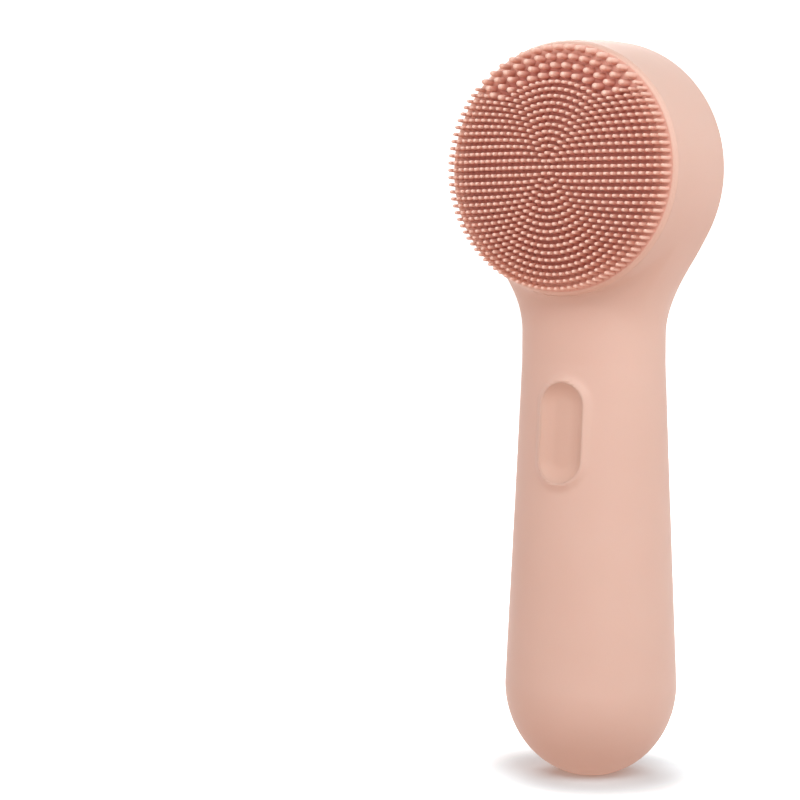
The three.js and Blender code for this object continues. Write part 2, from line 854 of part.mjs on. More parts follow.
function wire(points) {
  const path = new THREE.CatmullRomCurve3(points.map((p) => new THREE.Vector3(...p)));
  const section = new THREE.Shape();
  section.absarc(0, 0, wireRadius, 0, 2 * Math.PI, false);
  return solidOf(
    new THREE.ExtrudeGeometry(section, {
      steps: 4 * (points.length - 1),
      curveSegments: 4,
      extrudePath: path,
    }),
  );
}

const wireEndY = boardBackY + gap + wireRadius;
const lowTieY = chargeBoardFrontY - gap - wireRadius;
const sideWireX = cellRadius + 1.3;
const cellLeadX = 1.8;
const pairX = 2; // half the spacing of the motor's and the charger's pairs of leads
const wires = {
  battery_lead_plus: [
    [1.6, cellY - 1, cellHighZ + cellCapHeight + 2 * gap + wireRadius],
    [cellLeadX, cellY - 3, cellHighZ + 4.5],
    [cellLeadX, trayFrontY + trayWall, cellHighZ + 6],
    [cellLeadX, wireEndY, cellHighZ + 6.5],
  ],
  battery_lead_minus: [
    [-1.6, cellY + 3, cellLowZ - trayWall - 1.2],
    [-sideWireX + 1, cellY + 3, cellLowZ - trayWall - 0.4],
    [-sideWireX, cellY + 3, cellLowZ + 4],
    [-sideWireX, cellY + 3, cellHighZ - 2],
    [-5, cellY, cellHighZ + 5],
    [-cellLeadX, trayFrontY + trayWall, cellHighZ + 7.5],
    [-cellLeadX, wireEndY, cellHighZ + 8],
  ],
  motor_lead_plus: [
    [pairX, motorY, motorLowZ - gap - wireRadius],
    [pairX, motorY - 1, motorLowZ - 8],
    [pairX, boardMiddleY, mainBoardHighZ + 1.5],
  ],
  motor_lead_minus: [
    [-pairX, motorY, motorLowZ - gap - wireRadius],
    [-pairX, motorY - 1, motorLowZ - 8],
    [-pairX, boardMiddleY, mainBoardHighZ + 1.5],
  ],
  charge_lead_plus: [
    [pairX, lowTieY, socketZ + 3],
    [pairX, boardBackY - 0.5, socketZ + 5],
    [pairX, boardFrontY - 0.5, mainBoardLowZ - 1.5],
  ],
  charge_lead_minus: [
    [-pairX, lowTieY, socketZ + 3],
    [-pairX, boardBackY - 0.5, socketZ + 5],
    [-pairX, boardFrontY - 0.5, mainBoardLowZ - 1.5],
  ],
};

// ---- the assembly ----------------------------------------------------------------------

const finish = {
  silicone: { color: 0xe0b8a8, roughness: 0.55, metalness: 0 },
  gloss: { color: 0xeec9bb, roughness: 0.15, metalness: 0 },
  shell: { color: 0xf2ece6, roughness: 0.5, metalness: 0 },
  rubber: { color: 0x3c3c3e, roughness: 0.8, metalness: 0 },
  seal: { color: 0xd8d4cf, roughness: 0.7, metalness: 0 },
  board: { color: 0x1f6b45, roughness: 0.45, metalness: 0 },
  black: { color: 0x1c1c1e, roughness: 0.4, metalness: 0 },
  clear: { color: 0xf4f2ea, roughness: 0.2, metalness: 0 },
  steel: { color: 0xb9bcc0, roughness: 0.3, metalness: 1 },
  brass: { color: 0xb58b4a, roughness: 0.35, metalness: 1 },
  cell: { color: 0x3f78b5, roughness: 0.35, metalness: 0 },
  red: { color: 0xb3261e, roughness: 0.5, metalness: 0 },
};

const brush = new THREE.Group();

function place(name, solid, look) {
  const material = new THREE.MeshStandardMaterial(look);
  material.name = name;
  const mesh = new THREE.Mesh(geometryOf(solid), material);
  mesh.name = name;
  brush.add(mesh);
}

place("outer_skin", outerSkin(), finish.silicone);
place("nub_pad", nubPad(), finish.silicone);
place("front_shell", frontShell(), finish.shell);
place("rear_shell", rearShell(), finish.shell);
place("shell_gasket", shellGasket(), finish.seal);
shellScrewSpots.forEach(([x, z], i) => {
  const seat = screwSeatY + gap;
  place(`shell_screw_${i + 1}`, screw(x, z, seat, shellScrewLength, 1), finish.steel);
});

place("power_button", powerButton(), finish.silicone);
place("button_actuator", buttonActuator(), finish.shell);
place("switch_body", switchBody(), finish.black);
place("switch_stem", switchStem(), finish.clear);

place("gloss_panel", glossPanel(), finish.gloss);
place("port_flap", portFlap(), finish.silicone);
place("charge_socket_shell", socketShell(), finish.steel);
place("charge_socket_tongue", socketTongue(), finish.black);
place("charge_socket_seal", socketSeal(), finish.rubber);
place("charge_board", chargeBoard(), finish.board);
[-1, 1].forEach((side, i) => {
  const seat = chargeBoardFrontY - gap;
  const made = screw(side * chargePostX, chargePostZ, seat, smallScrewLength, -1);
  place(`charge_board_screw_${i + 1}`, made, finish.steel);
});

place("battery_tray", batteryTray(), finish.shell);
place("battery_cell", batteryCell(), finish.cell);
place("battery_cap", batteryCap(), finish.steel);
place("battery_foam", batteryFoam(), finish.rubber);
place("main_board", mainBoard(), finish.board);
trayScrewSpots.forEach(([x, z], i) => {
  const made = screw(x, z, boardFrontY - gap, boardScrewLength, -1);
  place(`board_screw_${i + 1}`, made, finish.steel);
});
place("control_chip", onBoard(boardParts.control_chip), finish.black);
place("charge_led", onBoard(boardParts.charge_led), finish.clear);
place("wire_socket", onBoard(boardParts.wire_socket), finish.clear);

place("motor_can", motorCan(), finish.steel);
place("motor_end_cap", motorEndCap(), finish.black);
place("motor_boot", motorBoot(), finish.rubber);
place("motor_bracket", motorBracket(), finish.steel);
[-1, 1].forEach((side, i) => {
  const seat = earBackY + gap;
  const made = screw(side * bracketEarX, bracketZ, seat, smallScrewLength, 1);
  place(`bracket_screw_${i + 1}`, made, finish.steel);
});
place("motor_shaft", motorShaft(), finish.steel);
place("eccentric_weight", eccentricWeight(), finish.brass);

for (const [name, points] of Object.entries(wires)) {
  place(name, wire(points), name.endsWith("plus") ? finish.red : finish.black);
}

export default brush;
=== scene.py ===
# %% [markdown]
# # A facial cleansing brush
# This lesson dresses a working model of a silicone face brush. The model brings the real sizes,
# the inner parts and the joints; each cell here remakes one visible piece as a fine mesh with
# its own finish: the soft skin, the pad of nubs, the button, the gloss panel and the flap.

import json
import math

import bpy
import numpy as np
from mathutils import Matrix, Vector


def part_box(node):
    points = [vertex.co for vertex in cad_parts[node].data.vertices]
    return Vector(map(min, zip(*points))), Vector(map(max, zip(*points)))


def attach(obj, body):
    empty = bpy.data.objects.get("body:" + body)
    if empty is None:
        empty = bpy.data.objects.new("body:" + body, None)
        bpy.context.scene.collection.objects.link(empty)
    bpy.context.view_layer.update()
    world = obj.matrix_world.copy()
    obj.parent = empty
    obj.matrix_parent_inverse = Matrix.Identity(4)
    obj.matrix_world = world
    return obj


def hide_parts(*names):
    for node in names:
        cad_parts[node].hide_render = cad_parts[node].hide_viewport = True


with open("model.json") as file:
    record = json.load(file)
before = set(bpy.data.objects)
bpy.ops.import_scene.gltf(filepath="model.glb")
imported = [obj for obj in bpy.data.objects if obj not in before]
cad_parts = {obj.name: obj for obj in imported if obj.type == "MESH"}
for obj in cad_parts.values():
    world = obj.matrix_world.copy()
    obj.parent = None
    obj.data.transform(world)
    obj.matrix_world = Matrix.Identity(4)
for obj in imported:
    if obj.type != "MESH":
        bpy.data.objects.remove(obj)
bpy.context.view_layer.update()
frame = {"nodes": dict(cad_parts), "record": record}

# %% [markdown]
# ## Sizes
# Places come from the frame's own boxes where a box can say them; the form's few driving
# dimensions are the model's own. The mesh helpers below work in millimetres, which are easier
# to think in at this size, and each mesh is shrunk to metres as it is made. FIT is the
# clearance that the model leaves round each set-in piece, and GAP is the finer one that shows
# on the dressed brush.

# %% Read the sizes
MM = 0.001
FIT, GAP = 0.3, 0.1
SKIN_WALL = 2.4
RIM_STEP, RIM_RADIUS = 1.1, 27.6


def span(node):
    """Lowest and highest corner of a node, in millimetres."""
    low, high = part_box(node)
    return np.array(low) / MM, np.array(high) / MM


skin_low, skin_high = span("outer_skin")
pad_low, pad_high = span("nub_pad")
button_low, button_high = span("power_button")
panel_low, panel_high = span("gloss_panel")
flap_low, flap_high = span("port_flap")

HEAD_RADIUS = (skin_high[0] - skin_low[0]) / 2
HEAD_Z = skin_high[2] - HEAD_RADIUS
PAD_BACK_Y = pad_high[1]
RIM_Y = PAD_BACK_Y - RIM_STEP
BUTTON_Z = (button_low[2] + button_high[2]) / 2
BUTTON_WIDTH = button_high[0] - button_low[0] + 2 * FIT
BUTTON_HEIGHT = button_high[2] - button_low[2] + 2 * FIT
WINDOW_WIDTH = panel_high[0] - panel_low[0] + 2 * FIT
WINDOW_LOW_Z = flap_low[2] - FIT
WINDOW_HIGH_Z = panel_high[2] + FIT
SEAM_Z = (panel_low[2] + flap_high[2]) / 2
print("head radius", round(HEAD_RADIUS, 1), "seam at", round(SEAM_Z, 1))

# %% [markdown]
# ## The form of the brush
# On the real brush a rubber skin is moulded over a hard core, so the head runs into the handle
# in one sweep. A stack of boxes and bevels would never flow like that. Instead the form is a
# formula: how far a point lies outside an egg-ended handle, how far outside a barrel-shaped
# head, and a soft minimum of the two that fills the neck. The blend is wide at the sides and
# tight under the front rim, where the pad stands proud of the handle.

# %% The form as a formula
FOOT_WIDTH, FOOT_DEPTH, FOOT_HEIGHT = 19.4, 19.3, 21.0
WAIST_Z, WAIST_WIDTH, WAIST_DEPTH = 93.0, 16.65, 13.9
STAND_RADIUS = 5.0
FOOT_CENTRE_Z = FOOT_HEIGHT * math.sqrt(1 - (STAND_RADIUS / FOOT_WIDTH) ** 2)
HANDLE_TOP_Z, HANDLE_TOP_HEIGHT = 116.0, 14.0
WIDEST_Y, BACK_DEPTH = 4.5, 8.9
NECK_BLEND, CHIN_BLEND = 10.5, 1.8
NECK_BLEND_Y, CHIN_BLEND_Y = -6.0, -15.0
FRONT_SPARE = 10
STRIDE, MOST_STRIDES, HALVINGS = 1.0, 90, 20
TINY = 1e-6


def smooth_step(t):
    """Eases from 0 to 1 as t does."""
    t = np.clip(t, 0, 1)
    return t * t * (3 - 2 * t)


def handle_distance(x, y, z):
    """How far outside the handle a point is; its oval section tapers from foot to waist."""
    t = np.clip((z - FOOT_CENTRE_Z) / (WAIST_Z - FOOT_CENTRE_Z), 0, 1)
    width = FOOT_WIDTH + (WAIST_WIDTH - FOOT_WIDTH) * t
    depth = FOOT_DEPTH + (WAIST_DEPTH - FOOT_DEPTH) * t
    end = np.where(z < FOOT_CENTRE_Z, FOOT_HEIGHT, HANDLE_TOP_HEIGHT)
    beyond = np.maximum(np.maximum(FOOT_CENTRE_Z - z, z - HANDLE_TOP_Z), 0) / end
    ratio = np.sqrt((x / width) ** 2 + (y / depth) ** 2 + beyond ** 2)
    slope = np.sqrt((x / width ** 2) ** 2 + (y / depth ** 2) ** 2 + (beyond / end) ** 2)
    return np.where(slope < TINY, -depth, (ratio - 1) * ratio / np.maximum(slope, TINY))


def wall_radius(y):
    """Radius of the head's side wall, which narrows in a curve towards the front rim."""
    t = (WIDEST_Y - y) / (WIDEST_Y - RIM_Y)
    return HEAD_RADIUS - (HEAD_RADIUS - RIM_RADIUS) * t * t


def head_distance(x, y, z):
    """How far outside the head a point is; its front runs past the rim, to be cut off later."""
    radius = np.hypot(x, z - HEAD_Z)
    wall = np.maximum(radius - wall_radius(y), RIM_Y - FRONT_SPARE - y)
    back = np.maximum(y - WIDEST_Y, 0) / BACK_DEPTH
    out = radius / HEAD_RADIUS
    ratio = np.hypot(back, out)
    slope = np.maximum(np.hypot(back / BACK_DEPTH, out / HEAD_RADIUS), TINY)
    return np.where(y <= WIDEST_Y, wall, (ratio - 1) * ratio / slope)


def brush_distance(points):
    """How far outside the whole brush each point is, with the neck filled by the soft minimum."""
    x, y, z = points[..., 0], points[..., 1], points[..., 2]
    handle, head = handle_distance(x, y, z), head_distance(x, y, z)
    t = smooth_step((y - CHIN_BLEND_Y) / (NECK_BLEND_Y - CHIN_BLEND_Y))
    blend = CHIN_BLEND + (NECK_BLEND - CHIN_BLEND) * t
    near = np.maximum(blend - np.abs(handle - head), 0) / blend
    return np.minimum(handle, head) - near * near * blend / 4


def reach_skin(origins, directions, inset):
    """Walks out from inside the brush to its skin, inset by some depth."""
    far = np.zeros(directions.shape[:-1])
    walking = np.ones(far.shape, bool)
    for _ in range(MOST_STRIDES):
        far = np.where(walking, far + STRIDE, far)
        here = origins + directions * far[..., None]
        walking &= brush_distance(here) + inset <= 0
        if not walking.any():
            break
    near = far - STRIDE
    for _ in range(HALVINGS):
        middle = (near + far) / 2
        outside = brush_distance(origins + directions * middle[..., None]) + inset > 0
        far, near = np.where(outside, middle, far), np.where(outside, near, middle)
    return origins + directions * near[..., None]


waist = reach_skin(np.array([0, 0, WAIST_Z]), np.array([1.0, 0, 0]), 0)
print("half width at the waist", round(float(waist[0]), 1))

# %% [markdown]
# ## Rows of points
# A formula needs a net of points. The rows fan out around the round foot, climb the handle and
# the head level by level, and fan over the crown. The climbing rows are laid so that one falls
# exactly on each massage crest, which lets a crest stay a clean sharp line.

# %% Lay the rows
SCOOPS, SCOOP_PITCH, LOWEST_CREST_Z = 5, 7.2, 117.7
TOP_CREST_Z = LOWEST_CREST_Z + SCOOPS * SCOOP_PITCH
CLIMB_RUN, SCOOP_RUN, FOOT_RUN, CROWN_RUN = 98, 8, 28, 26
FEWEST_IN_SCOOP = 3


def level_rows(step):
    """Heights and lifts of the rows, spaced about a step apart along each stretch."""
    in_scoop = max(int(SCOOP_RUN / step), FEWEST_IN_SCOOP)
    below = np.linspace(FOOT_CENTRE_Z, LOWEST_CREST_Z, int(CLIMB_RUN / step), endpoint=False)
    ridged = np.linspace(LOWEST_CREST_Z, TOP_CREST_Z, SCOOPS * in_scoop + 1)
    foot_lift = np.linspace(-math.pi / 2, 0, int(FOOT_RUN / step), endpoint=False)[1:]
    crown_lift = np.linspace(0, math.pi / 2, int(CROWN_RUN / step), endpoint=False)[1:]
    heights = np.concatenate([np.full(len(foot_lift), FOOT_CENTRE_Z), below, ridged,
                              np.full(len(crown_lift), TOP_CREST_Z)])
    level = np.zeros(len(below) + len(ridged))
    return heights, np.concatenate([foot_lift, level, crown_lift])


def form_net(step, around, inset):
    """Ring after ring of points over the whole form, then its foot and crown points."""
    heights, lifts = level_rows(step)
    turns = np.arange(around) * 2 * math.pi / around
    out = np.cos(lifts)[:, None]
    directions = np.stack([np.cos(turns) * out, np.sin(turns) * out,
                           np.repeat(np.sin(lifts)[:, None], around, 1)], -1)
    origins = np.zeros_like(directions)
    origins[..., 2] = heights[:, None]
    rings = reach_skin(origins, directions, inset)
    poles = reach_skin(np.array([[0, 0, FOOT_CENTRE_Z], [0, 0, TOP_CREST_Z]], float),
                       np.array([[0, 0, -1], [0, 0, 1]], float), inset)
    return rings, poles


def net_faces(rows, around):
    """Four-sided faces between the rings, and a fan of triangles to the foot and the crown."""
    ring = np.arange(around)
    following = (ring + 1) % around
    faces = []
    for row in range(rows - 1):
        low, high = row * around, (row + 1) * around
        faces += np.stack([low + ring, low + following, high + following, high + ring], 1).tolist()
    foot, top = rows * around, (rows - 1) * around
    faces += [(foot, int(b), int(a)) for a, b in zip(ring, following)]
    faces += [(foot + 1, int(top + a), int(top + b)) for a, b in zip(ring, following)]
    return faces


def make_piece(name, points, faces):
    """A mesh object from points in millimetres."""
    mesh = bpy.data.meshes.new(name)
    mesh.from_pydata((np.asarray(points) * MM).tolist(), [], faces)
    mesh.update()
    piece = bpy.data.objects.new(name, mesh)
    bpy.context.scene.collection.objects.link(piece)
    return piece


def form_piece(name, step, around, inset, shape=None):
    """The whole form at some depth under its skin, with details pushed in by a shape."""
    rings, poles = form_net(step, around, inset)
    if shape:
        rings = shape(rings)
    points = np.concatenate([rings.reshape(-1, 3), poles])
    return make_piece(name, points, net_faces(len(rings), around))


print("crests at", [round(LOWEST_CREST_Z + i * SCOOP_PITCH, 1) for i in range(SCOOPS + 1)])

# %% [markdown]
# ## Cutting tools
# The windows for the button and the flap are cut straight through the skin, as a mould's
# sliders would leave them. A flat outline drawn out along Y makes each cutter, and a Boolean
# modifier that is applied at once does the cut.

# %% Prisms and cuts
def prism(name, outline, from_y, to_y):
    """An outline of (x, z) points, anticlockwise seen from the front, drawn out along Y."""
    count = len(outline)
    points = [(x, from_y, z) for x, z in outline] + [(x, to_y, z) for x, z in outline]
    sides = [(i, i + count, (i + 1) % count + count, (i + 1) % count) for i in range(count)]
    caps = [tuple(range(count)), tuple(range(2 * count - 1, count - 1, -1))]
    return make_piece(name, points, sides + caps)


def stadium(width, low_z, high_z, corner=32):
    """A slot standing on end: straight sides and half-round ends."""
    radius = width / 2
    turns = np.linspace(0, math.pi, corner)
    top = [(radius * math.cos(a), high_z - radius + radius * math.sin(a)) for a in turns]
    foot = [(-radius * math.cos(a), low_z + radius - radius * math.sin(a)) for a in turns]
    return top + foot


def stadium_distance(x, z, width, low_z, high_z):
    """How far outside a stadium a place is; below zero inside it."""
    reach = (high_z - low_z - width) / 2
    along = np.maximum(np.abs(z - (low_z + high_z) / 2) - reach, 0)
    return np.hypot(x, along) - width / 2


def apply_cut(piece, tool, operation):
    """Cuts or joins a piece with a tool, which is used up."""
    cut = piece.modifiers.new("cut", "BOOLEAN")
    cut.operation = operation
    cut.solver = "MANIFOLD"
    cut.object = tool
    graph = bpy.context.evaluated_depsgraph_get()
    made = bpy.data.meshes.new_from_object(piece.evaluated_get(graph))
    piece.modifiers.clear()
    old, piece.data = piece.data, made
    bpy.data.meshes.remove(old)
    bpy.data.objects.remove(tool)
    if not len(made.polygons):
        raise ValueError(f"{piece.name} was cut away to nothing")


def soften(piece, degrees):
    """Smooth shading that keeps the real edges sharp."""
    piece.data.shade_smooth()
    piece.data.set_sharp_from_angle(angle=math.radians(degrees))


# %% [markdown]
# ## The skin
# The skin is the formula's form with three kinds of detail pushed into it: a soft raised lip
# round the button, five scoops across the back whose meeting edges are the massage crests, and
# a slight turn-in beside the back window. Then its hollow and its windows are cut.

# %% Shape the skin's details
LIP_RISE, LIP_HALF_WIDTH, LIP_CENTRE = 0.85, 0.95, 0.25
DISH_DEPTH, DISH_REACH = 1.0, 3.6
SCOOP_DEPTH, SCOOP_REACH, SCOOP_SPARE, SCOOP_FADE = 1.45, 21.0, 4, 0.55
SCOOP_RISE, SCOOP_FALL, SCOOP_PEAK = 1.3, 0.65, 0.39
TURN_IN, TURN_REACH = 0.12, 0.6
FRONT_Y, BACK_Y = -5, 4
button_slot = (BUTTON_WIDTH, BUTTON_Z - BUTTON_HEIGHT / 2, BUTTON_Z + BUTTON_HEIGHT / 2)
window_slot = (WINDOW_WIDTH, WINDOW_LOW_Z, WINDOW_HIGH_Z)


def lip_height(x, z):
    """A rounded ridge just outside the button's slot."""
    away = (stadium_distance(x, z, *button_slot) - LIP_CENTRE) / LIP_HALF_WIDTH
    return LIP_RISE * np.exp(-away * away)


def scoop_depth(x, z):
    """Deepest just under each crest, fading down to the next one and out to its ends."""
    step = np.clip((z - LOWEST_CREST_Z) / SCOOP_PITCH, 0, SCOOPS)
    t = step - np.floor(step)
    profile = t ** SCOOP_RISE * (1 - t) ** SCOOP_FALL / SCOOP_PEAK
    middle = LOWEST_CREST_Z + (np.minimum(np.floor(step), SCOOPS - 1) + 0.5) * SCOOP_PITCH
    chord = np.sqrt(np.maximum(SCOOP_REACH ** 2 - (middle - HEAD_Z) ** 2, 0))
    length = SCOOP_SPARE + chord
    return SCOOP_DEPTH * profile * smooth_step((1 - np.abs(x) / length) / SCOOP_FADE)


def detail_skin(rings):
    """Pushes the lip out at the front, and the scoops and the window's edge in at the back."""
    x, y, z = rings[..., 0], rings[..., 1], rings[..., 2]
    shaped = rings.copy()
    front, back = y < FRONT_Y, y > BACK_Y
    shaped[..., 1] -= np.where(front, lip_height(x, z), 0)
    shaped[..., 1] -= np.where(back, scoop_depth(x, z), 0)
    away = np.abs(stadium_distance(x, z, *window_slot))
    turn_in = TURN_IN * np.exp(-(away / TURN_REACH) ** 2)
    shaped[..., 1] -= np.where(back, turn_in, 0)
    return shaped


# %% [markdown]
# The skin's mesh is fine, with a ring of points every 0.6 mm or so. Its hollow can be coarse,
# because it never shows. The front of the head is cut open for the pad, just behind the pad's
# back, and the foot is cut level where the brush stands.

# %% Build the skin
FAR = 60.0
SKIN_STEP, SKIN_AROUND = 0.62, 256
HOLLOW_STEP, HOLLOW_AROUND = 3.0, 64
PAD_SEAT = 0.04
WINDOW_CORNER = 48


def slab(name, low_z, high_z, *ends):
    """A wide block between two heights, to cut a piece off level."""
    outline = [(-FAR, low_z), (FAR, low_z), (FAR, high_z), (-FAR, high_z)]
    return prism(name, outline, *ends)


skin = form_piece("soft_skin", SKIN_STEP, SKIN_AROUND, 0, detail_skin)
hollow = form_piece("hollow_tool", HOLLOW_STEP, HOLLOW_AROUND, SKIN_WALL)
chin_z = HEAD_Z - RIM_RADIUS - NECK_BLEND / 2
for tool in [
    hollow,
    slab("front_tool", chin_z, 2 * HEAD_Z, -FAR, PAD_BACK_Y + PAD_SEAT),
    slab("ground_tool", -FAR, 0, -FAR, FAR),
    prism("button_tool", stadium(*button_slot), -FAR, 0),
    prism("window_tool", stadium(*window_slot, WINDOW_CORNER), 0, FAR),
]:
    apply_cut(skin, tool, "DIFFERENCE")
soften(skin, 24)
print("skin faces", len(skin.data.polygons))

# %% [markdown]
# ## The pad of nubs
# The pad is a shallow dome with one nub after another in rings: six in the first ring, twelve
# in the second, and six more in each ring after it, so the nubs line up along six rays and read
# as straight rows at the sides and as arcs above and below. A crescent of thicker nubs sits at
# the top for the sides of the nose. Each nub is a small turned shape, fine or thick, copied by
# code.

# %% Build the pad
PAD_CROWN, EDGE_ROUND = 3.4, 0.9
PAD_EDGE = RIM_RADIUS - EDGE_ROUND
FINE_PITCH, FINE_RINGS, FINE_RADIUS, FINE_LENGTH = 1.54, 17, 0.46, 3.8
THICK_RADII = (20.1, 22.1, 24.1, 26.1)
THICK_STEP, THICK_RADIUS, THICK_LENGTH = 2.76, 0.74, 3.6
THICK_SPREAD = math.radians(43.2)
NUB_CLEARANCE = 0.2
NUB_SIDES, DOME_SIDES, DOME_STEPS, EDGE_STEPS = 10, 160, 40, 7
ROOT_SINK, TIP_SHARE = 0.5, 0.82


def pad_face_y(radius):
    """y of the domed face, which stands furthest forward in the middle."""
    return RIM_Y - PAD_CROWN * (1 - (radius / PAD_EDGE) ** 2)


def turned(profile, sides):
    """Rings of points round the Y axis from a list of (radius, y); the first and last close it."""
    turns = np.arange(sides) * 2 * math.pi / sides
    points = [(r * math.cos(a), y, r * math.sin(a)) for r, y in profile[1:-1] for a in turns]
    points += [(0, profile[0][1], 0), (0, profile[-1][1], 0)]
    rows, faces = len(profile) - 2, []
    for row in range(rows - 1):
        low, high = row * sides, (row + 1) * sides
        for i in range(sides):
            j = (i + 1) % sides
            faces.append((low + i, high + i, high + j, low + j))
    start, end, last = rows * sides, rows * sides + 1, (rows - 1) * sides
    for i in range(sides):
        j = (i + 1) % sides
        faces += [(start, i, j), (end, last + j, last + i)]
    return np.array(points), faces


def thick_spots():
    """Four arcs of thick nubs, evenly stepped about the top."""
    spots = []
    for radius in THICK_RADII:
        count = int(2 * THICK_SPREAD * radius / THICK_STEP) + 1
        for i in range(count):
            turn = math.pi / 2 + (i - (count - 1) / 2) * THICK_STEP / radius
            spots.append((radius * math.cos(turn), radius * math.sin(turn)))
    return spots


def nub_spots():
    """Place, radius and length of every nub; the fine rings leave room for the thick arcs."""
    thick = thick_spots()
    spots = [(0.0, 0.0, FINE_RADIUS, FINE_LENGTH)]
    fine_limit = THICK_RADII[0] - THICK_RADIUS - FINE_RADIUS
    crescent_end = math.pi / 2 - math.atan2(thick[0][1], thick[0][0])
    for ring in range(1, FINE_RINGS + 1):
        radius = ring * FINE_PITCH
        for i in range(6 * ring):
            turn = 2 * math.pi * i / (6 * ring)
            x, z = radius * math.cos(turn), radius * math.sin(turn)
            from_top = abs(math.remainder(turn - math.pi / 2, 2 * math.pi))
            nearest = min(math.hypot(x - tx, z - tz) for tx, tz in thick)
            if radius > fine_limit and from_top < crescent_end:
                continue
            if nearest < THICK_RADIUS + FINE_RADIUS + NUB_CLEARANCE:
                continue
            spots.append((x, z, FINE_RADIUS, FINE_LENGTH))
    return spots + [(x, z, THICK_RADIUS, THICK_LENGTH) for x, z in thick]


def nub_profile(radius, length):
    """From the sunk root to the rounded tip, with a small flare where it leaves the pad."""
    tip = TIP_SHARE * radius
    shoulder = length - tip
    arc = [(tip * math.cos(a), -shoulder - tip * math.sin(a)) for a in (0.5, 1.05)]
    return [(0, ROOT_SINK), (1.25 * radius, ROOT_SINK), (1.2 * radius, 0), (radius, -0.35),
            (0.88 * radius, -0.6 * length), (tip, -shoulder), *arc, (0, -length)]


def dome_profile():
    """From the middle of the flat back, out and round the edge, to the middle of the dome."""
    side = wall_radius(RIM_Y)
    rounded = [(side - EDGE_ROUND + EDGE_ROUND * math.cos(a),
                RIM_Y + EDGE_ROUND * (1 - math.sin(a)))
               for a in np.linspace(0, math.pi / 2, EDGE_STEPS)]
    radii = [PAD_EDGE * (1 - i / DOME_STEPS) for i in range(1, DOME_STEPS)]
    face = [(radius, pad_face_y(radius)) for radius in radii]
    return [(0, PAD_BACK_Y), (wall_radius(PAD_BACK_Y), PAD_BACK_Y), *rounded, *face,
            (0, pad_face_y(0))]


def build_pad():
    """The dome and all its nubs, gathered into one mesh."""
    points, faces = turned(dome_profile(), DOME_SIDES)
    all_points, all_faces, count = [points + [0, 0, HEAD_Z]], list(faces), len(points)
    for x, z, radius, length in nub_spots():
        root = pad_face_y(math.hypot(x, z))
        nub, nub_faces = turned(nub_profile(radius, length), NUB_SIDES)
        all_points.append(nub + [x, root, HEAD_Z + z])
        all_faces += [tuple(v + count for v in face) for face in nub_faces]
        count += len(nub)
    return make_piece("soft_nub_pad", np.concatenate(all_points), all_faces)


pad = build_pad()
soften(pad, 60)
print("nubs", len(nub_spots()), "pad faces", len(pad.data.polygons))

# %% [markdown]
# ## Button, panel and flap
# Each of these is a slice of the brush's own form: a layer between two depths, cut to its
# outline. That keeps them flush with the skin however it curves. The slices are made from the
# same net of points, so they also inherit its smoothness.

# %% Slice a layer to an outline
LAYER_AROUND, CORE_STEP, CORE_AROUND = 220, 2.0, 100
FRONT_HALF, BACK_HALF = (-FAR, 0), (0, FAR)


def layer_slice(name, outline, insets, half, shape, step):
    """The form between an outer and an inner inset, cut to an outline on one half of the brush."""
    outer, inner = insets
    piece = form_piece(name, step, LAYER_AROUND, outer, shape)
    apply_cut(piece, form_piece(name + "_core", CORE_STEP, CORE_AROUND, inner), "DIFFERENCE")
    apply_cut(piece, prism(name + "_tool", outline, *half), "INTERSECT")
    return piece


def rounded_edge(distance, depth, reach):
    """How far an edge is turned in at a distance inside its outline."""
    t = np.clip(1 + distance / reach, 0, 1)
    return depth * (1 - np.sqrt(1 - t * t))


# %% [markdown]
# The button is the front slice. Its face is dished for the fingertip, and its edge rises with
# the lip round it, so a press moves the whole stadium inwards without opening a wide gap.

# %% Build the button
BUTTON_GAP, BUTTON_THICKNESS, BUTTON_STEP = 0.04, 1.8, 0.4


def dish_button(rings):
    """Raises the slice's edge to the lip and dishes its middle."""
    x, z = rings[..., 0], rings[..., 2]
    inside = stadium_distance(x, z, *button_slot)
    rise = lip_height(x, z) - DISH_DEPTH * smooth_step(-inside / DISH_REACH)
    shaped = rings.copy()
    shaped[..., 1] -= np.where(rings[..., 1] < FRONT_Y, rise, 0)
    return shaped


button_outline = stadium(BUTTON_WIDTH - 2 * BUTTON_GAP,
                         BUTTON_Z - BUTTON_HEIGHT / 2 + BUTTON_GAP,
                         BUTTON_Z + BUTTON_HEIGHT / 2 - BUTTON_GAP)
button = layer_slice("soft_button", button_outline, (0, BUTTON_THICKNESS), FRONT_HALF,
                     dish_button, BUTTON_STEP)
soften(button, 40)
print("button faces", len(button.data.polygons))

# %% [markdown]
# The panel and the flap share the back window, with a straight seam between them. The panel is
# set a hair below the skin, its edges are rolled in, and a finger-nail notch above the seam is
# bitten out of it by a round cutter that stops at the notch's floor.

# %% Build the gloss panel
NOTCH_WIDTH, NOTCH_HEIGHT, NOTCH_DEPTH, NOTCH_SIDES = 10.5, 2.2, 1.1, 96
NOTCH_STEP, NOTCH_AROUND = 2.0, 120
PANEL_INSET, PANEL_STEP = 0.05, 0.7
PANEL_ROLL, PANEL_ROLL_REACH = 0.18, 0.7
NOTCH_RADIUS = ((NOTCH_WIDTH / 2) ** 2 + NOTCH_HEIGHT ** 2) / (2 * NOTCH_HEIGHT)
NOTCH_Z = SEAM_Z + NOTCH_HEIGHT - NOTCH_RADIUS
half_window = WINDOW_WIDTH / 2 - GAP


def window_part(above):
    """The part of the back window above the seam, or the part below it."""
    whole = stadium(2 * half_window, WINDOW_LOW_Z + GAP, WINDOW_HIGH_Z - GAP, WINDOW_CORNER)
    side = 1 if above else -1
    arc = [p for p in whole if side * (p[1] - SEAM_Z) > GAP / 2]
    seam_z = SEAM_Z + side * GAP / 2
    return arc + [(-side * half_window, seam_z), (side * half_window, seam_z)]


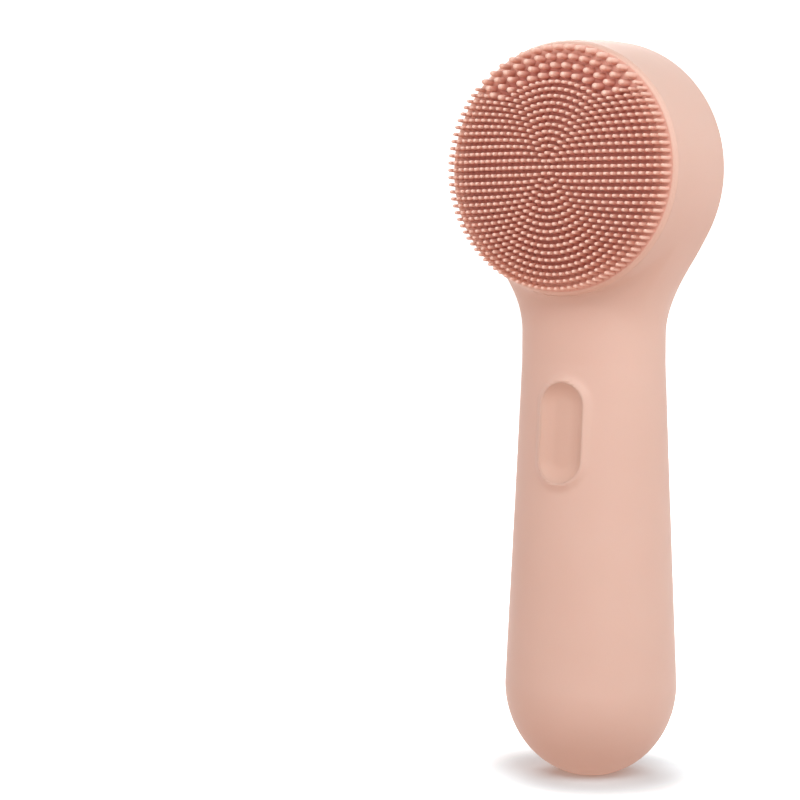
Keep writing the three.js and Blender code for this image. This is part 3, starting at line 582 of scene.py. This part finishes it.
def rolled_edge(depth, reach, above):
    """A shape that rolls in the edges of the part above or below the seam."""
    def shape(rings):
        x, y, z = rings[..., 0], rings[..., 1], rings[..., 2]
        past_seam = SEAM_Z - z if above else z - SEAM_Z
        edge = np.maximum(stadium_distance(x, z, *window_slot), past_seam)
        turned_in = rounded_edge(np.minimum(edge, 0), depth, reach)
        shaped = rings.copy()
        shaped[..., 1] -= np.where(y > BACK_Y, turned_in, 0)
        return shaped
    return shape


def notch_outline():
    """The round cutter's outline; its top is the notch's top."""
    turns = np.linspace(0, 2 * math.pi, NOTCH_SIDES, endpoint=False)
    return [(NOTCH_RADIUS * math.cos(a), NOTCH_Z + NOTCH_RADIUS * math.sin(a)) for a in turns]


panel = layer_slice("back_gloss_panel", window_part(True), (PANEL_INSET, SKIN_WALL), BACK_HALF,
                    rolled_edge(PANEL_ROLL, PANEL_ROLL_REACH, True), PANEL_STEP)
notch = prism("notch_tool", notch_outline(), *BACK_HALF)
notch_floor = form_piece("notch_floor", NOTCH_STEP, NOTCH_AROUND, NOTCH_DEPTH)
apply_cut(notch, notch_floor, "DIFFERENCE")
apply_cut(panel, notch, "DIFFERENCE")
soften(panel, 30)
print("panel faces", len(panel.data.polygons))

# %% [markdown]
# The flap is one with its plug on the real brush: a rubber block on its inner side that fills
# the charging port. The plug is a slot-shaped prism that is joined on before the edges are
# shaded.

# %% Build the charging flap
PLUG_WIDTH, PLUG_HEIGHT, PLUG_Z, PLUG_ROOT_Y = 9.0, 3.2, 22.3, 17.2
PLUG_CORNER = 16
FLAP_ROLL, FLAP_ROLL_REACH = 0.15, 0.6


def plug_outline():
    """A slot lying on its side."""
    reach, radius = (PLUG_WIDTH - PLUG_HEIGHT) / 2, PLUG_HEIGHT / 2
    right = [(reach + radius * math.cos(a), PLUG_Z + radius * math.sin(a))
             for a in np.linspace(-math.pi / 2, math.pi / 2, PLUG_CORNER)]
    return right + [(-x, 2 * PLUG_Z - z) for x, z in right]


flap = layer_slice("soft_port_flap", window_part(False), (0, SKIN_WALL), BACK_HALF,
                   rolled_edge(FLAP_ROLL, FLAP_ROLL_REACH, False), PANEL_STEP)
apply_cut(flap, prism("plug_tool", plug_outline(), flap_low[1], PLUG_ROOT_Y), "UNION")
soften(flap, 30)
print("flap faces", len(flap.data.polygons))

# %% [markdown]
# ## The charging mark
# A small raised battery with a bolt through it is moulded on the flap. The strokes are thin
# beads: lines drawn in x and z, dropped onto the flap's face, and given a round section.

# %% Draw the mark
MARK_X, MARK_Z, MARK_HALF_WIDTH, MARK_HALF_HEIGHT = 0.9, 23.2, 4.0, 2.1
MARK_GAP, TERMINAL_STEP, TERMINAL_HALF = 0.9, 1.0, 0.8
BEAD, BEAD_STEPS, BEAD_ROUNDING = 0.17, 10, 3
BEYOND_BACK, BACK_HALVINGS = 40.0, 30


def face_y(x, z):
    """y of the back of the brush at a place in x and z."""
    near, far = 0.0, BEYOND_BACK
    for _ in range(BACK_HALVINGS):
        middle = (near + far) / 2
        if brush_distance(np.array([x, middle, z])) > 0:
            far = middle
        else:
            near = middle
    return near


def on_flap(line):
    """Points along a line of corners, each laid on the flap's face."""
    flat = [(x0 + (x1 - x0) * i / BEAD_STEPS, z0 + (z1 - z0) * i / BEAD_STEPS)
            for (x0, z0), (x1, z1) in zip(line, line[1:]) for i in range(BEAD_STEPS)]
    placed = [(MARK_X + x, MARK_Z + z) for x, z in flat + [line[-1]]]
    return [(x, face_y(x, z), z) for x, z in placed]


def bead_lines(name, lines):
    """A mesh of round beads along the lines."""
    curve = bpy.data.curves.new(name, "CURVE")
    curve.dimensions = "3D"
    curve.bevel_depth = BEAD * MM
    curve.bevel_resolution = BEAD_ROUNDING
    curve.use_fill_caps = True
    for line in lines:
        points = on_flap(line)
        spline = curve.splines.new("POLY")
        spline.points.add(len(points) - 1)
        for slot, point in zip(spline.points, points):
            slot.co = (*(v * MM for v in point), 1)
    source = bpy.data.objects.new(name + "_lines", curve)
    bpy.context.scene.collection.objects.link(source)
    graph = bpy.context.evaluated_depsgraph_get()
    mesh = bpy.data.meshes.new_from_object(source.evaluated_get(graph))
    bpy.data.objects.remove(source)
    piece = bpy.data.objects.new(name, mesh)
    bpy.context.scene.collection.objects.link(piece)
    return piece


def half_case(side):
    """One end of the battery's case, open towards the bolt."""
    inner, outer = side * MARK_GAP, side * MARK_HALF_WIDTH
    return [(inner, MARK_HALF_HEIGHT), (outer, MARK_HALF_HEIGHT),
            (outer, -MARK_HALF_HEIGHT), (inner, -MARK_HALF_HEIGHT)]


terminal_x = MARK_HALF_WIDTH + TERMINAL_STEP
terminal = [(terminal_x, TERMINAL_HALF), (terminal_x, -TERMINAL_HALF)]
bolt = [(-0.5, 1.5), (0.6, 0.1), (-0.6, -0.1), (0.5, -1.5)]
mark = bead_lines("charging_mark", [half_case(1), half_case(-1), terminal, bolt])
soften(mark, 60)
print("mark faces", len(mark.data.polygons))

# %% [markdown]
# ## Shader arithmetic
# Finishes are written as sums. A Signal wraps a node's output, and adding or multiplying two
# signals adds the Math node that does it. Every other node comes from one method, which sets
# the node's own settings first and its inputs after.

# %% Signals
class Signal:
    """A node's output that takes part in sums."""

    def __init__(self, net, socket):
        self.net, self.socket = net, socket

    def math(self, operation, first, second):
        return self.net.node("ShaderNodeMath", {"operation": operation}, {0: first, 1: second})

    def __add__(self, other):
        return self.math("ADD", self, other)

    def __sub__(self, other):
        return self.math("SUBTRACT", self, other)

    def __rsub__(self, other):
        return self.math("SUBTRACT", other, self)

    def __mul__(self, other):
        return self.math("MULTIPLY", self, other)

    def __truediv__(self, other):
        return self.math("DIVIDE", self, other)

    def __rtruediv__(self, other):
        return self.math("DIVIDE", other, self)

    __radd__, __rmul__ = __add__, __mul__


# %% [markdown]
# A Net is any tree of nodes, such as the studio's world, and a Finish is the net of one
# material. A finish also knows where it is on the piece, so that grain keeps its real size.

# %% Nets and finishes
class Net:
    """A node tree whose nodes all come from one method."""

    def __init__(self, tree):
        self.tree = tree

    def node(self, kind, settings, values, output=0):
        """Adds a node, with its settings and then its inputs, and gives one of its outputs."""
        made = self.tree.nodes.new(kind)
        for key, value in settings.items():
            if key == "ramp":
                self.set_ramp(made.color_ramp, value)
            else:
                setattr(made, key, value)
        for key, value in values.items():
            self.feed(made.inputs[key], value)
        return Signal(self, made.outputs[output])

    def set_ramp(self, ramp, stops):
        """Sets a ramp's stops, each a place and a colour."""
        while len(ramp.elements) < len(stops):
            ramp.elements.new(0.5)
        for element, (place, tone) in zip(ramp.elements, stops):
            element.position, element.color = place, tone

    def feed(self, socket, value):
        """Links a signal to a socket, or sets its value."""
        if isinstance(value, Signal):
            self.tree.links.new(value.socket, socket)
        else:
            socket.default_value = value

    def split(self, vector):
        """The x, y and z of a vector."""
        x = self.node("ShaderNodeSeparateXYZ", {}, {0: vector})
        return [Signal(self, output) for output in x.socket.node.outputs]

    def blend(self, factor, first, second):
        return self.node("ShaderNodeMix", {"data_type": "RGBA"},
                         {0: factor, 6: first, 7: second}, 2)


class Finish(Net):
    """A material and its main shader."""

    def __init__(self, name):
        self.material = bpy.data.materials.new(name)
        self.material.use_nodes = True
        super().__init__(self.material.node_tree)
        self.shader = self.tree.nodes["Principled BSDF"]

    def set(self, **values):
        for key, value in values.items():
            self.feed(self.shader.inputs[key.replace("_", " ")], value)

    def place(self):
        """The point on the piece, as a vector in millimetres."""
        where = self.node("ShaderNodeTexCoord", {}, {}, "Object")
        return self.node("ShaderNodeVectorMath", {"operation": "SCALE"},
                         {0: where, "Scale": 1 / MM})

    def noise(self, vector, scale, detail=3.0):
        return self.node("ShaderNodeTexNoise", {},
                         {"Vector": vector, "Scale": scale, "Detail": detail})

    def bump(self, height, strength, depth):
        """A bump of some depth in millimetres."""
        return self.node("ShaderNodeBump", {}, {"Height": height, "Strength": strength,
                                                "Distance": depth * MM})


def colour(red, green, blue):
    """A screen colour, 0 to 255, as the linear values that Blender mixes."""
    linear = [((v / 255 + 0.055) / 1.055) ** 2.4 if v > 10 else v / 255 / 12.92
              for v in (red, green, blue)]
    return (*linear, 1.0)


# %% [markdown]
# ## Silicone
# Soft-touch silicone is matt, a little translucent, and covered with a grain so fine that it
# only shows as a soft bloom at the edges. A broad faint mottling of the pigment, a fine bump
# and a light sheen give that, with a trace of subsurface light to warm the shadows.

# %% Mix the silicone
MOTTLE, FLECK, GRAIN = 0.06, 2.6, 7.0
GRAIN_DEPTH = 0.012


def silicone(name, light, deep):
    """Soft-touch silicone between two tones; the scales are marks per millimetre."""
    finish = Finish(name)
    point = finish.place()
    mottle = finish.noise(point, MOTTLE, 2.0)
    fleck = finish.noise(point, FLECK, 4.0)
    finish.set(Base_Color=finish.blend(mottle * 0.7 + fleck * 0.3, deep, light),
               Roughness=0.5 + fleck * 0.1,
               Normal=finish.bump(finish.noise(point, GRAIN, 2.0), 0.25, GRAIN_DEPTH))
    finish.set(Subsurface_Weight=0.12, Subsurface_Radius=(1.0, 0.45, 0.3),
               Subsurface_Scale=0.0015, Sheen_Weight=0.12, Sheen_Roughness=0.5,
               Specular_IOR_Level=0.35)
    return finish.material


body_silicone = silicone("body_silicone", colour(226, 194, 180), colour(219, 184, 169))
flap_silicone = silicone("flap_silicone", colour(225, 191, 177), colour(218, 181, 166))
button_silicone = silicone("button_silicone", colour(219, 184, 168), colour(211, 174, 157))
print("silicones", [m.name for m in (body_silicone, flap_silicone, button_silicone)])

# %% [markdown]
# ## Nub silicone
# Down between the nubs light bounces from wall to wall and comes back a deep brick red, while
# the tips catch the open light. Both are painted into the colour: the same pigment is deepened
# towards the root with painted shade and lightened at the tip with a painted highlight, by each
# point's height over the domed face. Near the pad's edge more light gets in from the side, so
# painted light opens up the tone there, and the bare rim is plain silicone.

# %% Mix the nub silicone
EDGE_LIGHT_FROM = 21.0
RIM_MARGIN = 0.2
# Painted shade at the root, rising to a painted highlight at the tip.
NUB_SHADE_TO_HIGHLIGHT = [(0.0, colour(192, 124, 110)), (0.2, colour(224, 164, 148)),
             (0.6, colour(242, 196, 180)), (1.0, colour(248, 214, 199))]


def nub_silicone():
    finish = Finish("nub_silicone")
    point = finish.place()
    x, y, z = finish.split(point)
    up = z - HEAD_Z
    radius_squared = x * x + up * up
    face = RIM_Y - PAD_CROWN + radius_squared * (PAD_CROWN / PAD_EDGE ** 2)
    height = (face - y) / FINE_LENGTH
    # The height picks painted shade low down and a painted highlight at the tip.
    tint = finish.node("ShaderNodeValToRGB", {"ramp": NUB_SHADE_TO_HIGHLIGHT}, {0: height})
    # Painted light that opens up the tone near the pad's edge.
    edge_light_share = finish.node("ShaderNodeMapRange", {"interpolation_type": "SMOOTHSTEP"}, {
        "Value": radius_squared, "From Min": EDGE_LIGHT_FROM ** 2, "From Max": PAD_EDGE ** 2,
        "To Max": 0.6})
    edge_lit_tone = finish.blend(edge_light_share, tint, colour(238, 194, 176))
    rim = finish.node("ShaderNodeMath", {"operation": "GREATER_THAN"},
                      {0: radius_squared, 1: (PAD_EDGE + RIM_MARGIN) ** 2})
    finish.set(Base_Color=finish.blend(rim, edge_lit_tone, colour(225, 188, 172)),
               Roughness=0.42 + finish.noise(point, 3.0) * 0.1,
               Normal=finish.bump(finish.noise(point, 8.0), 0.2, 0.01))
    finish.set(Sheen_Weight=0.05, Specular_IOR_Level=0.45)
    return finish.material


# %% [markdown]
# ## The gloss panel
# This is a hard, polished moulding a shade lighter than the skin, with painted light that makes
# it brightest at its top. The floor and wall of the finger-nail notch are painted a deep coral,
# painted shade and a painted red glow of light in the hollow, which the finish picks out by place.

# %% Mix the gloss
NOTCH_MARGIN = 0.03


def gloss_finish():
    finish = Finish("rose_gloss")
    point = finish.place()
    x, _, z = finish.split(point)
    # Painted light: the panel is lightened towards its top.
    rise = (z - SEAM_Z) / (WINDOW_HIGH_Z - SEAM_Z)
    top_lit_rose = finish.blend(rise, colour(236, 190, 175), colour(245, 208, 194))
    # The notch's coral is painted shade and a painted red glow of light in the hollow.
    up = z - NOTCH_Z
    inside = finish.node("ShaderNodeMath", {"operation": "LESS_THAN"},
                         {0: x * x + up * up, 1: (NOTCH_RADIUS + NOTCH_MARGIN) ** 2})
    finish.set(Base_Color=finish.blend(inside, top_lit_rose, colour(226, 122, 104)),
               Roughness=0.16 + finish.noise(point, 0.5) * 0.05,
               Normal=finish.bump(finish.noise(point, 0.35, 1.0), 0.12, 0.03))
    finish.set(Coat_Weight=0.35, Coat_Roughness=0.06, Specular_IOR_Level=0.55)
    return finish.material


# %% [markdown]
# Each piece gets one finish over the whole of it. The charging mark is moulded with the flap,
# so the two share a silicone.

# %% Put the finishes on
def finish_piece(piece, material):
    """Gives a piece one material over the whole of it."""
    piece.data.materials.clear()
    piece.data.materials.append(material)


finish_piece(skin, body_silicone)
finish_piece(button, button_silicone)
finish_piece(flap, flap_silicone)
finish_piece(mark, flap_silicone)
finish_piece(pad, nub_silicone())
finish_piece(panel, gloss_finish())
print("finished", [p.name for p in (skin, button, flap, mark, pad, panel)])

# %% [markdown]
# ## Inner finishes
# The inner pieces keep the model's own meshes. They show when the flap is open or the shells
# come apart, so each family gets a finish of its own: moulded plastic with a fine spark-eroded
# texture, brushed steel drawn along its length, solder mask, shrink film and so on. The five
# outer solids are hidden behind the pieces made above and take the plain body silicone.

# %% Mix the inner finishes
STREAK_STRETCH = (6.0, 6.0, 0.4)
TRACE_SCALE, TRACE_WIDTH = 0.35, 0.06


def moulded(name, light, deep, roughness, specular=0.5):
    """Moulded plastic, rubber or film: two close tones and a fine grain."""
    finish = Finish(name)
    point = finish.place()
    grain = finish.noise(point, 4.0)
    finish.set(Base_Color=finish.blend(finish.noise(point, 0.15), deep, light),
               Roughness=roughness - 0.05 + grain * 0.1,
               Normal=finish.bump(grain, 0.3, 0.02))
    finish.set(Specular_IOR_Level=specular)
    return finish.material


def metal(name, light, deep, roughness):
    """Metal with fine streaks drawn out along Z."""
    finish = Finish(name)
    point = finish.place()
    drawn = finish.node("ShaderNodeVectorMath", {"operation": "MULTIPLY"},
                        {0: point, 1: STREAK_STRETCH})
    streak = finish.noise(drawn, 1.5)
    finish.set(Base_Color=finish.blend(streak, deep, light),
               Roughness=roughness - 0.08 + streak * 0.16,
               Normal=finish.bump(streak, 0.15, 0.01))
    finish.set(Metallic=1.0)
    return finish.material


def board_finish():
    """Green solder mask over a web of copper traces."""
    finish = Finish("solder_mask")
    point = finish.place()
    traces = finish.node("ShaderNodeTexVoronoi", {"feature": "DISTANCE_TO_EDGE"},
                         {"Vector": point, "Scale": TRACE_SCALE})
    line = finish.node("ShaderNodeMath", {"operation": "LESS_THAN"},
                       {0: traces, 1: TRACE_WIDTH})
    finish.set(Base_Color=finish.blend(line, colour(22, 92, 58), colour(44, 128, 82)),
               Roughness=0.3 + line * 0.1, Normal=finish.bump(line, 0.2, 0.03))
    return finish.material


# %% [markdown]
# The model's record says which material slot each inner piece belongs to. One table gives the
# finish for each slot, and one loop puts it on.

# %% Finish the inner pieces
inner = {
    "shell": moulded("ivory_moulding", colour(240, 234, 226), colour(232, 224, 214), 0.5),
    "seal": moulded("dark_seal_rubber", colour(64, 64, 66), colour(48, 48, 50), 0.75, 0.3),
    "board": board_finish(),
    "black_plastic": moulded("black_moulding", colour(38, 38, 40), colour(26, 26, 28), 0.45),
    "clear_plastic": moulded("milky_moulding", colour(238, 236, 228), colour(224, 222, 212), 0.25),
    "steel": metal("brushed_steel", (0.66, 0.67, 0.69, 1), (0.5, 0.51, 0.53, 1), 0.32),
    "weight_metal": metal("turned_brass", (0.78, 0.6, 0.32, 1), (0.62, 0.45, 0.2, 1), 0.35),
    "cell_wrap": moulded("blue_shrink_film", colour(66, 122, 186), colour(50, 100, 164), 0.25),
    "red_wire": moulded("red_insulation", colour(196, 44, 36), colour(170, 32, 28), 0.4),
    "black_wire": moulded("black_insulation", colour(36, 36, 38), colour(24, 24, 26), 0.4),
    "silicone": body_silicone,
    "gloss_panel": body_silicone,
}
for part in frame["record"]["subparts"]:
    node = frame["nodes"][part["node"]]
    for slot in node.material_slots:
        slot.material = inner[part["material_slot"]]
print("inner finishes", len(inner))

# %% [markdown]
# ## Joining the pieces to the model
# Each new piece rides on the body that it belongs to and stands in for the plain solid it was
# made over, so the button travels, the flap swings, and nothing is left showing twice.

# %% Ride and replace
for piece, body, node, slot_name in [
    (skin, "brush", "outer_skin", "silicone"),
    (pad, "brush", "nub_pad", "silicone"),
    (panel, "brush", "gloss_panel", "gloss_panel"),
    (button, "button", "power_button", "silicone"),
    (flap, "flap", "port_flap", "silicone"),
]:
    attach(piece, body)
    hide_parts(node)
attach(mark, "flap")

# %% [markdown]
# ## Studio
# The brush stands in a wide round bowl of white paper: a floor that curves up into a wall all
# the way round, so no horizon shows from any side. The paper glows by itself from a little way
# out, which keeps the soft shadow close to the brush and leaves everything else plain white.
# It is hidden from light that bounces off the brush, so the world alone tints the shadows.

# %% Build the sweep
FLOOR_RADIUS, BEND_RADIUS, WALL_TOP = 1500, 700, 2600
SWEEP_SIDES, BEND_STEPS = 96, 24
GLOW_FROM, GLOW_FULL = 14.0, 40.0


def build_sweep():
    """A bowl: a flat round floor, a quarter bend and an upright wall."""
    profile = [(r, 0) for r in (20, 300, 800, FLOOR_RADIUS)]
    for a in np.linspace(0, math.pi / 2, BEND_STEPS)[1:]:
        profile.append((FLOOR_RADIUS + BEND_RADIUS * math.sin(a),
                        BEND_RADIUS * (1 - math.cos(a))))
    profile.append((FLOOR_RADIUS + BEND_RADIUS, WALL_TOP))
    turns = np.arange(SWEEP_SIDES) * 2 * math.pi / SWEEP_SIDES
    points = [(r * math.cos(a), r * math.sin(a), z) for r, z in profile for a in turns]
    faces = [tuple(range(SWEEP_SIDES))]
    for row in range(len(profile) - 1):
        low, high = row * SWEEP_SIDES, (row + 1) * SWEEP_SIDES
        for i in range(SWEEP_SIDES):
            j = (i + 1) % SWEEP_SIDES
            faces.append((low + i, high + i, high + j, low + j))
    bowl = make_piece("sweep", points, faces)
    bowl.data.shade_smooth()
    return bowl


sweep = build_sweep()
paper = Finish("sweep_paper")
reach = paper.node("ShaderNodeVectorMath", {"operation": "LENGTH"}, {0: paper.place()}, "Value")
glow = paper.node("ShaderNodeMapRange", {"interpolation_type": "SMOOTHSTEP"},
                  {"Value": reach, "From Min": GLOW_FROM, "From Max": GLOW_FULL})
paper.set(Base_Color=(0.76, 0.82, 0.85, 1), Roughness=0.9, Specular_IOR_Level=0.1)
paper.set(Emission_Color=glow, Emission_Strength=1.0)
finish_piece(sweep, paper.material)
sweep.visible_diffuse = False
print("sweep is", 2 * (FLOOR_RADIUS + BEND_RADIUS) * MM, "m across")

# %% [markdown]
# Four round softboxes light the brush, three in front and one behind, each aimed at its middle.
# The key stands high and a little right of the camera. The world adds a dim sky from above and
# a warm glow from below, as pink skin tones and paper would throw back.

# %% Place the lights
VIEW_TURN = math.radians(32.7)
AIM = Vector((0, 0, 0.09))
SOFTBOX_SIZE, FILL_SIZE = 0.7, 0.8


def softbox(name, turn, rise, distance, size, power, tint):
    """A round area light; turn is measured from the camera and rise from the floor, in degrees."""
    light = bpy.data.lights.new(name, "AREA")
    light.shape, light.size, light.energy, light.color = "DISK", size, power, tint
    lamp = bpy.data.objects.new(name, light)
    bpy.context.scene.collection.objects.link(lamp)
    angle, lift = VIEW_TURN + math.radians(turn), math.radians(rise)
    reach = Vector((math.cos(lift) * math.sin(angle), -math.cos(lift) * math.cos(angle),
                    math.sin(lift)))
    lamp.location = AIM + reach * distance
    lamp.rotation_euler = (-reach).to_track_quat("-Z", "Y").to_euler()
    print(name, "at", [round(v, 2) for v in lamp.location])


softbox("key_softbox", 16, 42, 0.9, SOFTBOX_SIZE, 4.75, (0.95, 1.0, 1.02))
softbox("side_softbox", 74, 26, 1.0, SOFTBOX_SIZE, 2.0, (0.98, 1.0, 1.0))
softbox("back_softbox", 190, 34, 1.0, SOFTBOX_SIZE, 5.4, (0.99, 1.0, 1.01))
softbox("fill_softbox", -50, 36, 1.0, FILL_SIZE, 2.7, (1.06, 0.95, 0.91))

# %% [markdown]
# The world's colour depends only on how high a ray points: the floor's glow below, the sky's
# above, and a soft change between them at the horizon.

# %% Tint the world
SKY_GLOW, FLOOR_GLOW = (0.25, 0.21, 0.196, 1), (0.86, 0.64, 0.56, 1)
HORIZON_SOFTNESS = 0.3
world = bpy.data.worlds.new("studio")
world.use_nodes = True
sky = Net(world.node_tree)
heading = sky.node("ShaderNodeTexCoord", {}, {}, "Generated")
height = sky.split(heading)[2]
upward = sky.node("ShaderNodeMapRange", {}, {
    "Value": height, "From Min": -HORIZON_SOFTNESS, "From Max": HORIZON_SOFTNESS})
sky.feed(sky.tree.nodes["Background"].inputs["Color"], sky.blend(upward, FLOOR_GLOW, SKY_GLOW))
bpy.context.scene.world = world
bpy.context.scene.view_settings.view_transform = "Standard"

# %% [markdown]
# ## Camera
# A portrait lens half a metre away, a little above the middle of the brush and tipped slightly
# down. The brush stands right of the middle of the view, so the camera is moved to its left
# and looks straight ahead, which keeps the lens shift at zero.

# %% Set the camera
DISTANCE, SIDE_STEP, EYE_HEIGHT = 0.5, -0.0435, 0.114
TILT, ROLL = math.radians(3.4), math.radians(0.2)
FOCAL_LENGTH, SENSOR_WIDTH = 100.0, 36.0
across = Vector((math.cos(VIEW_TURN), math.sin(VIEW_TURN), 0))
towards = Vector((-math.sin(VIEW_TURN), math.cos(VIEW_TURN), 0))
lens = bpy.data.cameras.new("studio_camera")
lens.lens, lens.sensor_width = FOCAL_LENGTH, SENSOR_WIDTH
camera = bpy.data.objects.new("studio_camera", lens)
bpy.context.scene.collection.objects.link(camera)
camera.location = across * SIDE_STEP - towards * DISTANCE + Vector((0, 0, EYE_HEIGHT))
look = towards * math.cos(TILT) - Vector((0, 0, math.sin(TILT)))
up = across.cross(look)
turn = Matrix((across, up, -look)).transposed().to_4x4()
camera.matrix_world = Matrix.Translation(camera.location) @ turn @ Matrix.Rotation(ROLL, 4, "Z")
bpy.context.scene.camera = camera
print("camera at", [round(v, 3) for v in camera.location])
